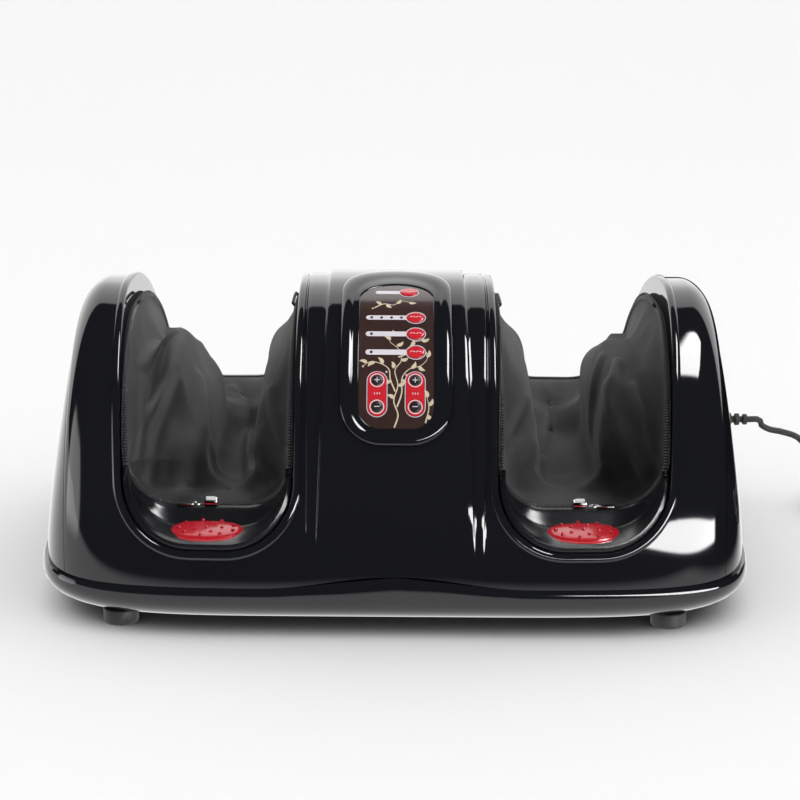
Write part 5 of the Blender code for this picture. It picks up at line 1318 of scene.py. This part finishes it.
# Console: flat pieces are drawn in (x, distance from the crest, height) and bent over the console
def console_table():
    s = sizes()
    steps = 1200
    angles = [HALF_TURN * (0.75 - 0.75 * i / steps) for i in range(steps + 1)]
    places = [Vector(arch(angle, s.band)) for angle in angles]
    lengths = [0.0]
    for a, b in zip(places, places[1:]):
        lengths.append(lengths[-1] + (b - a).length)
    crest = min(range(steps + 1), key=lambda i: abs(angles[i] - QUARTER_TURN))
    return angles, [value - lengths[crest] for value in lengths]


CONSOLE = {}


def from_top(distance, lift=0.0):
    """Place on the console at a distance down the front from its crest."""
    if not CONSOLE:
        CONSOLE["angles"], CONSOLE["lengths"] = console_table()
    angles, lengths = CONSOLE["angles"], CONSOLE["lengths"]
    low, high = 0, len(lengths) - 1
    while high - low > 1:
        middle = (low + high) // 2
        if lengths[middle] < distance:
            low = middle
        else:
            high = middle
    share = (distance - lengths[low]) / (lengths[high] - lengths[low])
    return arch(angles[low] + (angles[high] - angles[low]) * share, sizes().band + lift)


def bent(x, distance, lift):
    y, z = from_top(distance, lift)
    return Vector((x, y, z))


def plate_outline(half, top, bottom, arch_rise, radius, fine=14):
    """Closed outline with an arched top and rounded lower corners."""
    low, start, around = bottom - radius, top + arch_rise, 3 * fine
    turns = [HALF_TURN * i / around for i in range(around + 1)]
    return (arc(half - radius, low, radius, 0.0, QUARTER_TURN, fine)
            + between((half - radius, bottom), (radius - half, bottom), 8)
            + arc(radius - half, low, radius, QUARTER_TURN, QUARTER_TURN, fine)
            + between((-half, low), (-half, start), 24)
            + [(-half * math.cos(turn), start - arch_rise * math.sin(turn)) for turn in turns]
            + between((half, start), (half, low), 24))


# The rim's section: how far out of the panel's edge, and how high
BEZEL_REACH = 0.0102
BEZEL = ((BEZEL_REACH, 0.0002), (BEZEL_REACH, 0.0012), (0.0098, 0.0020), (0.0088, 0.0029), (0.0074, 0.0036),
         (0.0058, 0.0038), (0.0044, 0.0036), (0.0032, 0.0031), (0.0024, 0.0027), (0.0012, 0.0028), (0.0, 0.0029),
         (-0.0008, 0.0030), (-0.0013, 0.0028), (-0.0015, 0.0022), (-0.0015, 0.0016))


def bent_fill(name, outline, low, high):
    """A thin plate inside an outline, bent over the console."""
    shape = bmesh.new()
    for height, upward in ((low, False), (high, True)):
        loop = [shape.verts.new((x, y, height)) for x, y in outline]
        face = shape.faces.new(loop)
        face.normal_update()
        if (face.normal.z > 0) != upward:
            face.normal_flip()
    shape.verts.ensure_lookup_table()
    count = len(outline)
    for i in range(count):
        j = (i + 1) % count
        shape.faces.new((shape.verts[i], shape.verts[j], shape.verts[count + j], shape.verts[count + i]))
    lows = min(y for _, y in outline)
    highs = max(y for _, y in outline)
    cuts = max(1, int((highs - lows) / 0.003))
    for i in range(1, cuts):
        geometry = shape.verts[:] + shape.edges[:] + shape.faces[:]
        bmesh.ops.bisect_plane(shape, geom=geometry, dist=0.000002,
                               plane_co=(0, lows + (highs - lows) * i / cuts, 0), plane_no=(0, 1, 0))
    bmesh.ops.triangulate(shape, faces=[face for face in shape.faces if len(face.verts) > 4])
    for vertex in shape.verts:
        x, y, height = vertex.co
        vertex.co = bent(x, y, height)
    return solid(name, shape, 40, True)


def oval(column, row, half_width, half_height, count=40):
    return [(column + half_width * u, row + half_height * v) for u, v in ring_points(1.0, count)]


def pill(column, top, bottom, half, count=16):
    """A capsule outline that stands upright."""
    low, high, left, right = bottom - half, top + half, column - half, column + half
    return (arc(column, low, half, 0.0, HALF_TURN, count) + between((left, low), (left, high), 10)
            + arc(column, high, half, HALF_TURN, HALF_TURN, count) + between((right, high), (right, low), 10))


def bar(left, right, row, half, count=10):
    """A bar outline with a rounded left end."""
    return ([(right, row - half), (right, row + half)]
            + arc(left + half, row, half, QUARTER_TURN, HALF_TURN, count))


def ring_band(name, outer, inner, low, high):
    """A thin band between two outlines with equal counts, bent over the console."""
    rings = [[bent(x, y, low) for x, y in outer], [bent(x, y, high) for x, y in outer],
             [bent(x, y, high) for x, y in inner], [bent(x, y, low) for x, y in inner]]
    return hoop(name, rings, 40, True)


PANEL_FACE = 0.0024
KEYS = {"key_power": (0.0078, 0.0330), "key_upper": (0.0120, 0.0592),
        "key_middle": (0.0120, 0.0730), "key_lower": (0.0120, 0.0870)}
KEY_HALF_WIDTH, KEY_HALF_HEIGHT = 0.0054, 0.0044
CAPSULE_HALF, ROUND_KEY_RADIUS = 0.0057, 0.0034
ROUND_COLUMN = 0.0117
ROUND_ROWS = {"upper": 0.1070, "lower": 0.1242}


class MASSAGER_OT_console(bpy.types.Operator):
    """Fits the console's raised rim and its brown control panel"""
    bl_idname = "massager.console"
    bl_label = "Console rim and panel"

    def execute(self, context):
        rings = []
        for out, height in BEZEL:
            share = out / BEZEL_REACH
            outline = plate_outline(0.0245 + out, 0.0185 - 0.0330 * share, 0.1389 + 0.009 * share,
                                    0.0220 + 0.0230 * share, 0.0150 + 0.0110 * share)
            rings.append([bent(x, y, height) for x, y in outline])
        shape = bmesh.new()
        grid_into(shape, rings, closed=True)
        bmesh.ops.recalc_face_normals(shape, faces=shape.faces)
        bezel = smooth(face_up(new_object("Console_Rim", shape)), 50)
        finish_piece(bezel, "gloss black", "case", "console_bezel", slot="shell_gloss")
        outline = plate_outline(0.0243, 0.0187, 0.1387, 0.0218, 0.0148)
        panel = bent_fill("Control_Panel", outline, 0.0003, PANEL_FACE)
        finish_piece(panel, "brown overlay", "case", "control_panel", slot="overlay_brown")
        return {"FINISHED"}


def curl(points):
    """Even places along a smooth flat curve."""
    return [(p.x, p.y) for p in smooth_route([Vector((x, d, 0.0)) for x, d in points], 0.0006)]


def add_ribbon(shape, centre, half_at, low, high):
    """A thin printed stroke along flat places, bent over the console."""
    rings = []
    for i, (x, d) in enumerate(centre):
        a, b = centre[max(0, i - 1)], centre[min(len(centre) - 1, i + 1)]
        run = Vector((b[0] - a[0], b[1] - a[1]))
        side = Vector((-run.y, run.x)).normalized() * half_at(i / (len(centre) - 1))
        rings.append([bent(x + side.x, d + side.y, low), bent(x + side.x, d + side.y, high),
                      bent(x - side.x, d - side.y, high), bent(x - side.x, d - side.y, low)])
    capped_into(shape, rings)


def add_dot(shape, column, row, radius, profile, count):
    """A small round print or lens, as shares of its radius and heights."""
    capped_into(shape, [[bent(x, y, h) for x, y in oval(column, row, radius * w, radius * w, count)]
                        for w, h in profile])


# Printed vine: stems as places, and leaves as root, heading in degrees and length
STEMS = (((-0.0010, 0.1370), (0.0012, 0.1290), (-0.0014, 0.1200), (0.0010, 0.1100), (-0.0008, 0.1000),
          (0.0030, 0.0930), (0.0016, 0.0850), (-0.0040, 0.0790), (-0.0030, 0.0740)),
         ((0.0006, 0.1240), (0.0034, 0.1150), (0.0036, 0.1050), (0.0080, 0.0990), (0.0150, 0.0965),
          (0.0190, 0.0920), (0.0185, 0.0890)),
         ((-0.0006, 0.1140), (-0.0036, 0.1060), (-0.0046, 0.0990), (-0.0100, 0.0950), (-0.0160, 0.0940),
          (-0.0200, 0.0965)),
         ((0.0012, 0.0905), (0.0060, 0.0880), (0.0100, 0.0800), (0.0160, 0.0780)),
         ((-0.0140, 0.0500), (-0.0080, 0.0460), (-0.0020, 0.0470), (0.0030, 0.0430), (0.0080, 0.0440)),
         ((0.0180, 0.1340), (0.0200, 0.1250), (0.0190, 0.1180)))
LEAVES = ((-0.0012, 0.1190, 150, 0.0052), (0.0010, 0.1100, 30, 0.0050), (-0.0030, 0.1075, 205, 0.0046),
          (0.0036, 0.1060, -20, 0.0050), (0.0090, 0.0985, 60, 0.0056), (0.0140, 0.0967, -40, 0.0050),
          (0.0188, 0.0905, 75, 0.0052), (-0.0085, 0.0957, 120, 0.0056), (-0.0130, 0.0942, 215, 0.0054),
          (-0.0180, 0.0950, 160, 0.0050), (-0.0020, 0.0985, 100, 0.0048), (0.0030, 0.0925, 20, 0.0046),
          (0.0000, 0.0820, 35, 0.0052), (-0.0038, 0.0780, 140, 0.0054), (-0.0030, 0.0745, 80, 0.0046),
          (0.0090, 0.0820, 70, 0.0046), (0.0155, 0.0782, 20, 0.0052), (-0.0100, 0.0474, 130, 0.0050),
          (-0.0060, 0.0462, -50, 0.0046), (0.0000, 0.0455, 60, 0.0048), (0.0078, 0.0440, -10, 0.0046),
          (0.0198, 0.1230, 60, 0.0050), (0.0190, 0.1180, 110, 0.0054), (0.0190, 0.1290, -30, 0.0046))
BERRIES = ((-0.0205, 0.0972), (0.0183, 0.0876), (-0.0028, 0.0730), (0.0164, 0.0772), (0.0092, 0.0448),
           (-0.0150, 0.0506), (-0.0060, 0.1010), (0.0062, 0.1030))


class MASSAGER_OT_vine(bpy.types.Operator):
    """Prints a plain vine on the control panel"""
    bl_idname = "massager.vine"
    bl_label = "Printed vine"

    def execute(self, context):
        shape = bmesh.new()
        low, high = PANEL_FACE - 0.0002, PANEL_FACE + 0.00006
        for stem in STEMS:
            add_ribbon(shape, curl(stem), lambda t: 0.00042 * (1.15 - 0.8 * t), low, high)
        for x, d, heading, reach in LEAVES:
            turn = math.radians(heading)
            ahead, aside = Vector((math.cos(turn), -math.sin(turn))), Vector((math.sin(turn), math.cos(turn)))
            centre = [Vector((x, d)) + ahead * reach * t + aside * reach * 0.16 * math.sin(HALF_TURN * t)
                      for t in [i / 10 for i in range(11)]]
            add_ribbon(shape, [(p.x, p.y) for p in centre],
                       lambda t: 0.00012 + 0.0011 * math.sin(HALF_TURN * t ** 0.75), low, high)
        for x, d in BERRIES:
            add_dot(shape, x, d, 0.0007, ((1.0, low), (1.0, high), (0.5, high + 0.00003)), 12)
        finish_piece(solid("Printed_Vine", shape, 40, True), "cream print", "case")
        return {"FINISHED"}


class MASSAGER_OT_keys(bpy.types.Operator):
    """Sets the oval keys, the two capsules with their round keys, the lamps and the printed bars"""
    bl_idname = "massager.keys"
    bl_label = "Keys and print"

    def execute(self, context):
        for name, (column, row) in KEYS.items():
            self.key(name, column, row)
        for name, sign in SIDES.items():
            self.capsule(name, sign * ROUND_COLUMN)
            for level, row in ROUND_ROWS.items():
                self.round_key(f"round_key_{level}_{name}", sign * ROUND_COLUMN, row)
        self.bars()
        self.marks()
        return {"FINISHED"}

    def dome(self, name, column, row, width, height, heights):
        rings = [[bent(x, y, h) for x, y in oval(column, row, width * w, height * w)] for w, h in heights]
        return loft(name, rings, 50)

    def key(self, name, column, row):
        top = PANEL_FACE + 0.0008
        key = self.dome(name.title(), column, row, KEY_HALF_WIDTH, KEY_HALF_HEIGHT,
                        ((1.0, 0.0013), (1.0, top - 0.0004), (0.96, top - 0.0001), (0.85, top + 0.0001),
                         (0.5, top + 0.0002), (0.05, top + 0.0002)))
        finish_piece(key, "red key", name + "_body", name, slot="key_red")
        outer, inner = (oval(column, row, KEY_HALF_WIDTH + grow, KEY_HALF_HEIGHT + grow)
                        for grow in (0.0009, 0.0004))
        rim = ring_band(name.title() + "_Outline", outer, inner, PANEL_FACE - 0.0002, PANEL_FACE + 0.0001)
        finish_piece(rim, "white print", "case")

    def capsule(self, name, column):
        top, bottom = ROUND_ROWS["upper"] - CAPSULE_HALF, ROUND_ROWS["lower"] + CAPSULE_HALF
        plate = bent_fill("Capsule_" + name.title(), pill(column, top, bottom, CAPSULE_HALF),
                          PANEL_FACE - 0.0001,
                          PANEL_FACE + 0.0007)
        finish_piece(plate, "red key", "case", "key_capsule_" + name, slot="key_red")
        rim = ring_band(f"Capsule_{name.title()}_Outline",
                        pill(column, top - 0.0007, bottom + 0.0007, 0.0064),
                        pill(column, top - 0.0002, bottom + 0.0002, 0.0059), PANEL_FACE - 0.0002,
                        PANEL_FACE + 0.0001)
        finish_piece(rim, "white print", "case")

    def strokes(self, name, body, routes, level):
        """Small printed strokes that travel with their key."""
        shape = bmesh.new()
        for route in routes:
            add_ribbon(shape, route, lambda t: 0.00024, level - 0.00004, level + 0.00006)
        bmesh.ops.recalc_face_normals(shape, faces=shape.faces)
        finish_piece(new_object(name + "_Print", shape, True), "white print", body)

    def marks(self):
        """Dashes on the oval keys and capsules; plus and minus on the round keys."""
        for name, (column, row) in KEYS.items():
            routes = []
            for i in range(4):
                x, tilt = column + (i - 1.5) * 0.0019, 0.0004 * (-1) ** i
                routes.append([(x - 0.0006, row + tilt), (x, row), (x + 0.0006, row - tilt)])
            self.strokes(name.title(), name + "_body", routes, PANEL_FACE + 0.0010)
        for side, sign in SIDES.items():
            x, row = sign * ROUND_COLUMN, sum(ROUND_ROWS.values()) / 2
            dashes = [x + (i - 1) * 0.0015 for i in range(3)]
            routes = [[(dash, row - 0.0006), (dash + 0.0001, row + 0.0006)] for dash in dashes]
            self.strokes("Capsule_" + side.title(), "case", routes, PANEL_FACE + 0.0007)
            for level, row in ROUND_ROWS.items():
                routes = [[(x - 0.0017, row), (x, row), (x + 0.0017, row)]]
                if level == "upper":
                    routes += [[(x, row - 0.0017), (x, row - 0.0003)], [(x, row + 0.0003), (x, row + 0.0017)]]
                name = f"round_key_{level}_{side}"
                self.strokes(name.title(), name + "_body", routes, PANEL_FACE + 0.0015)

    def round_key(self, name, column, row):
        top = PANEL_FACE + 0.0014
        key = self.dome(name.title(), column, row, ROUND_KEY_RADIUS, ROUND_KEY_RADIUS,
                        ((1.0, 0.0013), (1.0, top - 0.0003), (0.93, top), (0.6, top + 0.0001), (0.05, top + 0.0001)))
        finish_piece(key, "satin black", name + "_body", name, slot="satin_black")
        rim = ring_band(name.title() + "_Ring", oval(column, row, 0.0045, 0.0045),
                        oval(column, row, 0.0039, 0.0039),
                        PANEL_FACE + 0.0006, PANEL_FACE + 0.0009)
        finish_piece(rim, "white print", "case")

    def bars(self):
        low, high = PANEL_FACE - 0.0003, PANEL_FACE + 0.00012
        for name, left, right in (("power", -0.0134, 0.0018), ("upper", -0.0191, 0.0060),
                                  ("middle", -0.0191, 0.0060), ("lower", -0.0191, 0.0060)):
            piece = bent_fill("Bar_" + name.title(), bar(left, right, KEYS["key_" + name][1], 0.0019), low,
                              high)
            finish_piece(piece, "white print", "case")
        lamps = [(-0.0155 + 0.0062 * i, KEYS["key_upper"][1]) for i in range(4)]
        lamps += [(-0.0155, KEYS[name][1]) for name in ("key_middle", "key_lower")]
        shape = bmesh.new()
        profile = ((1.0, PANEL_FACE - 0.0004), (1.0, PANEL_FACE + 0.0002), (0.5, PANEL_FACE + 0.0004))
        for column, row in lamps:
            add_dot(shape, column, row, 0.0010, profile, 16)
        finish_piece(solid("Lamps", shape, 60, True), "smoked lamp", "case", "light_guide", slot="lamp_smoke")


# Works inside the case
def inside_finishes():
    """The finish of each CAD node that stays in view."""
    names = dict.fromkeys(("chassis", "drive_shaft", "gear_bracket", "motor", "motor_worm"), "zinc plate")
    names.update(worm_wheel="natural nylon", control_board="circuit board")
    for side in SIDES:
        names["sole_plate_" + side] = "satin black"
        names["bearing_end_" + side] = "natural nylon"
        names["bearing_mid_" + side] = "natural nylon"
        for place in ("inner", "outer"):
            names[f"knead_plate_{place}_{side}"] = "natural nylon"
            names[f"wobble_bush_{place}_{side}"] = "satin black"
    return names


class MASSAGER_OT_inside(bpy.types.Operator):
    """Gives the drive, the circuit board and the sole plates their finishes"""
    bl_idname = "massager.inside"
    bl_label = "Works inside"

    def execute(self, context):
        for name, material in inside_finishes().items():
            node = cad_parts[name]
            node.data.materials.clear()
            node.data.materials.append(finish(material))
            smooth(node, 40)
        return {"FINISHED"}


# Stage
def sums_in(tree):
    """Functions that add a sum, and a smooth step, to a node tree."""
    def sums(operation, *values):
        return node_in(tree, "Math", dict(enumerate(values)), operation=operation).outputs[0]

    def fade(value, start, end, level=1.0):
        return node_in(tree, "MapRange", {"Value": value, "From Min": start, "From Max": end,
                                          "To Max": level},
                       interpolation_type="SMOOTHSTEP").outputs["Result"]

    return sums, fade


def split(tree, vector):
    node = node_in(tree, "SeparateXYZ", {"Vector": vector})
    return [node.outputs[name] for name in "XYZ"]


def windows_group():
    """How bright the low windows of the room are in a direction."""
    found = bpy.data.node_groups.get("Low Windows")
    if found:
        return found
    group = group_of("Low Windows", (("Direction", "INPUT", "Vector", None),
                                     ("Light", "OUTPUT", "Float", None)))
    x, y, z = split(group, group.nodes.new("NodeGroupInput").outputs["Direction"])
    sums, fade = sums_in(group)

    def share(value, start, run):
        return sums("MAXIMUM", sums("DIVIDE", sums("SUBTRACT", value, start), run), 0.0)

    level_run = sums("SQRT", sums("SUBTRACT", 1.0, sums("MULTIPLY", z, z)))
    aside = sums("DIVIDE", x, sums("MAXIMUM", level_run, 0.001))
    top = sums("SUBTRACT", 0.06, sums("MULTIPLY", 0.17, sums("POWER", share(aside, 0.3, 0.7), 3.0)))
    rest = sums("SUBTRACT", 1.0, sums("MINIMUM", share(aside, 0.2, 0.8), 1.0))
    bottom = sums("MULTIPLY", -0.18, sums("SUBTRACT", 1.0, sums("MULTIPLY", rest, rest)))
    window = sums("MULTIPLY", fade(sums("SUBTRACT", top, z), -0.010, 0.010),
                  fade(sums("SUBTRACT", z, bottom), -0.010, 0.010))
    window = sums("MULTIPLY", window, sums("MULTIPLY", fade(aside, 0.10, 0.15), fade(aside, 0.992, 0.980)))
    window = sums("MULTIPLY", window, fade(y, 0.0, -0.03, 22.0))
    far_left = sums("MULTIPLY", fade(x, -0.950, -0.972),
                    fade(sums("ABSOLUTE", sums("SUBTRACT", z, 0.03)), 0.24, 0.14, 2.4))
    out = group.nodes.new("NodeGroupOutput")
    group.links.new(sums("ADD", window, far_left), out.inputs["Light"])
    return group


def windows_in(tree, direction):
    return node_in(tree, "Group", {"Direction": direction}, node_tree=windows_group()).outputs["Light"]


class MASSAGER_OT_stage(bpy.types.Operator):
    """Stands the massager on a white sweep in soft light"""
    bl_idname = "massager.stage"
    bl_label = "Stage"

    def execute(self, context):
        bpy.ops.object.select_all(action="DESELECT")
        bpy.ops.mesh.primitive_plane_add(size=12.0, location=(0, 0, 0))
        floor = context.object
        floor.name = "Floor"
        floor.data.materials.append(self.sweep())
        self.studio(context)
        self.overhead(context)
        context.scene.view_settings.view_transform = "Standard"
        return {"FINISHED"}

    def overhead(self, context):
        """A broad lamp that reflections don't show."""
        data = bpy.data.lights.new("Overhead", "AREA")
        data.shape = "RECTANGLE"
        data.size, data.size_y, data.energy = 1.6, 1.2, 5
        lamp = bpy.data.objects.new("Overhead", data)
        context.scene.collection.objects.link(lamp)
        lamp.location = (0.1, -0.5, 2.4)
        aim = Vector((0.0, 0.0, 0.1)) - lamp.location
        lamp.rotation_euler = aim.to_track_quat("-Z", "Y").to_euler()
        lamp.visible_glossy = False

    def sweep(self):
        """White paper with a painted contact shadow, darker where the case stands close over it; reflections see it
        as a painted glow, lit under the case and toward the low windows.
        """
        white = finish("white sweep")
        tree = white.node_tree
        sums, fade = sums_in(tree)
        shader = tree.nodes["Principled BSDF"]
        colour = shader.inputs["Base Color"]
        # Painted contact shadow: ambient occlusion darkens the paper's colour where the case stands close over it.
        near = node_in(tree, "AmbientOcclusion", {"Distance": 0.09}).outputs["AO"]
        shade = colour_mix(tree, fade(near, 0.0, 0.42), (0.10, 0.10, 0.105, 1), colour.links[0].from_socket)
        tree.links.new(shade, colour)
        # Painted glow for reflections: glossy rays see the paper as an emitter, bright under the case and toward the
        # low windows.
        x, y, _ = split(tree, object_place(tree))
        lit = sums("MULTIPLY", fade(y, -0.31, -0.25), fade(x, 0.36, 0.28, 1.25))
        incoming = node_in(tree, "NewGeometry").outputs["Incoming"]
        ahead = node_in(tree, "VectorMath", {0: incoming, "Scale": -1.0}, operation="SCALE").outputs["Vector"]
        glow = node_in(tree, "Emission", {"Strength": sums("ADD", lit, windows_in(tree, ahead))})
        seen = node_in(tree, "MixShader", {0: node_in(tree, "LightPath").outputs["Is Glossy Ray"],
                                           1: shader.outputs["BSDF"], 2: glow.outputs["Emission"]})
        tree.links.new(seen.outputs["Shader"], tree.nodes["Material Output"].inputs["Surface"])
        return white

    def studio(self, context):
        """White all round for the camera and for the floor; reflections see a dark room with a white back."""
        world = context.scene.world = bpy.data.worlds.new("Studio")
        world.use_nodes = True
        tree = world.node_tree
        sums, fade = sums_in(tree)
        direction = object_place(tree, "Generated")
        x, y, z = split(tree, direction)
        over = sums("MAXIMUM", z, 0.001)
        box = [fade(sums("ABSOLUTE", sums("SUBTRACT", sums("DIVIDE", value, over), middle)), reach,
                    reach - 0.05)
               for value, middle, reach in ((x, 0.58, 0.24), (y, -0.09, 0.28))]
        light = sums("ADD", fade(y, 0.53, 0.57, 1.6), sums("MULTIPLY", sums("MULTIPLY", *box), 22.0))
        light = sums("ADD", sums("ADD", light, windows_in(tree, direction)), 0.004)
        glossy = node_in(tree, "LightPath").outputs["Is Glossy Ray"]
        seen = node_in(tree, "Mix", {0: glossy, 2: 1.0, 3: light}, data_type="FLOAT")
        tree.links.new(seen.outputs[0], tree.nodes["Background"].inputs["Color"])


class MASSAGER_PT_panel(bpy.types.Panel):
    """Lists the massager's pieces and its sizes"""
    bl_label = "Foot and leg massager"
    bl_idname = "MASSAGER_PT_panel"
    bl_space_type = "VIEW_3D"
    bl_region_type = "UI"
    bl_category = "Massager"

    def draw(self, context):
        for operator in OPERATORS:
            self.layout.operator(operator.bl_idname)
        for name in MassagerSizes.__annotations__:
            self.layout.prop(sizes(), name)


OPERATORS = (MASSAGER_OT_camera, MASSAGER_OT_lead, MASSAGER_OT_shell, MASSAGER_OT_side_panels,
             MASSAGER_OT_tray,
             MASSAGER_OT_ledges, MASSAGER_OT_zips, MASSAGER_OT_linings, MASSAGER_OT_console, MASSAGER_OT_vine,
             MASSAGER_OT_keys, MASSAGER_OT_inside, MASSAGER_OT_stage)


def register():
    for item in (MassagerSizes, *OPERATORS, MASSAGER_PT_panel):
        bpy.utils.register_class(item)
    bpy.types.Scene.massager_sizes = bpy.props.PointerProperty(type=MassagerSizes)


def unregister():
    del bpy.types.Scene.massager_sizes
    for item in (MASSAGER_PT_panel, *reversed(OPERATORS), MassagerSizes):
        bpy.utils.unregister_class(item)


def main():
    register()
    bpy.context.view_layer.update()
    bpy.ops.massager.camera()
    bpy.ops.massager.lead()
    bpy.ops.massager.shell()
    bpy.ops.massager.side_panels()
    bpy.ops.massager.tray()
    bpy.ops.massager.ledges()
    bpy.ops.massager.zips()
    bpy.ops.massager.linings()
    bpy.ops.massager.console()
    bpy.ops.massager.vine()
    bpy.ops.massager.keys()
    bpy.ops.massager.inside()
    bpy.ops.massager.stage()


if __name__ == "__main__":
    main()
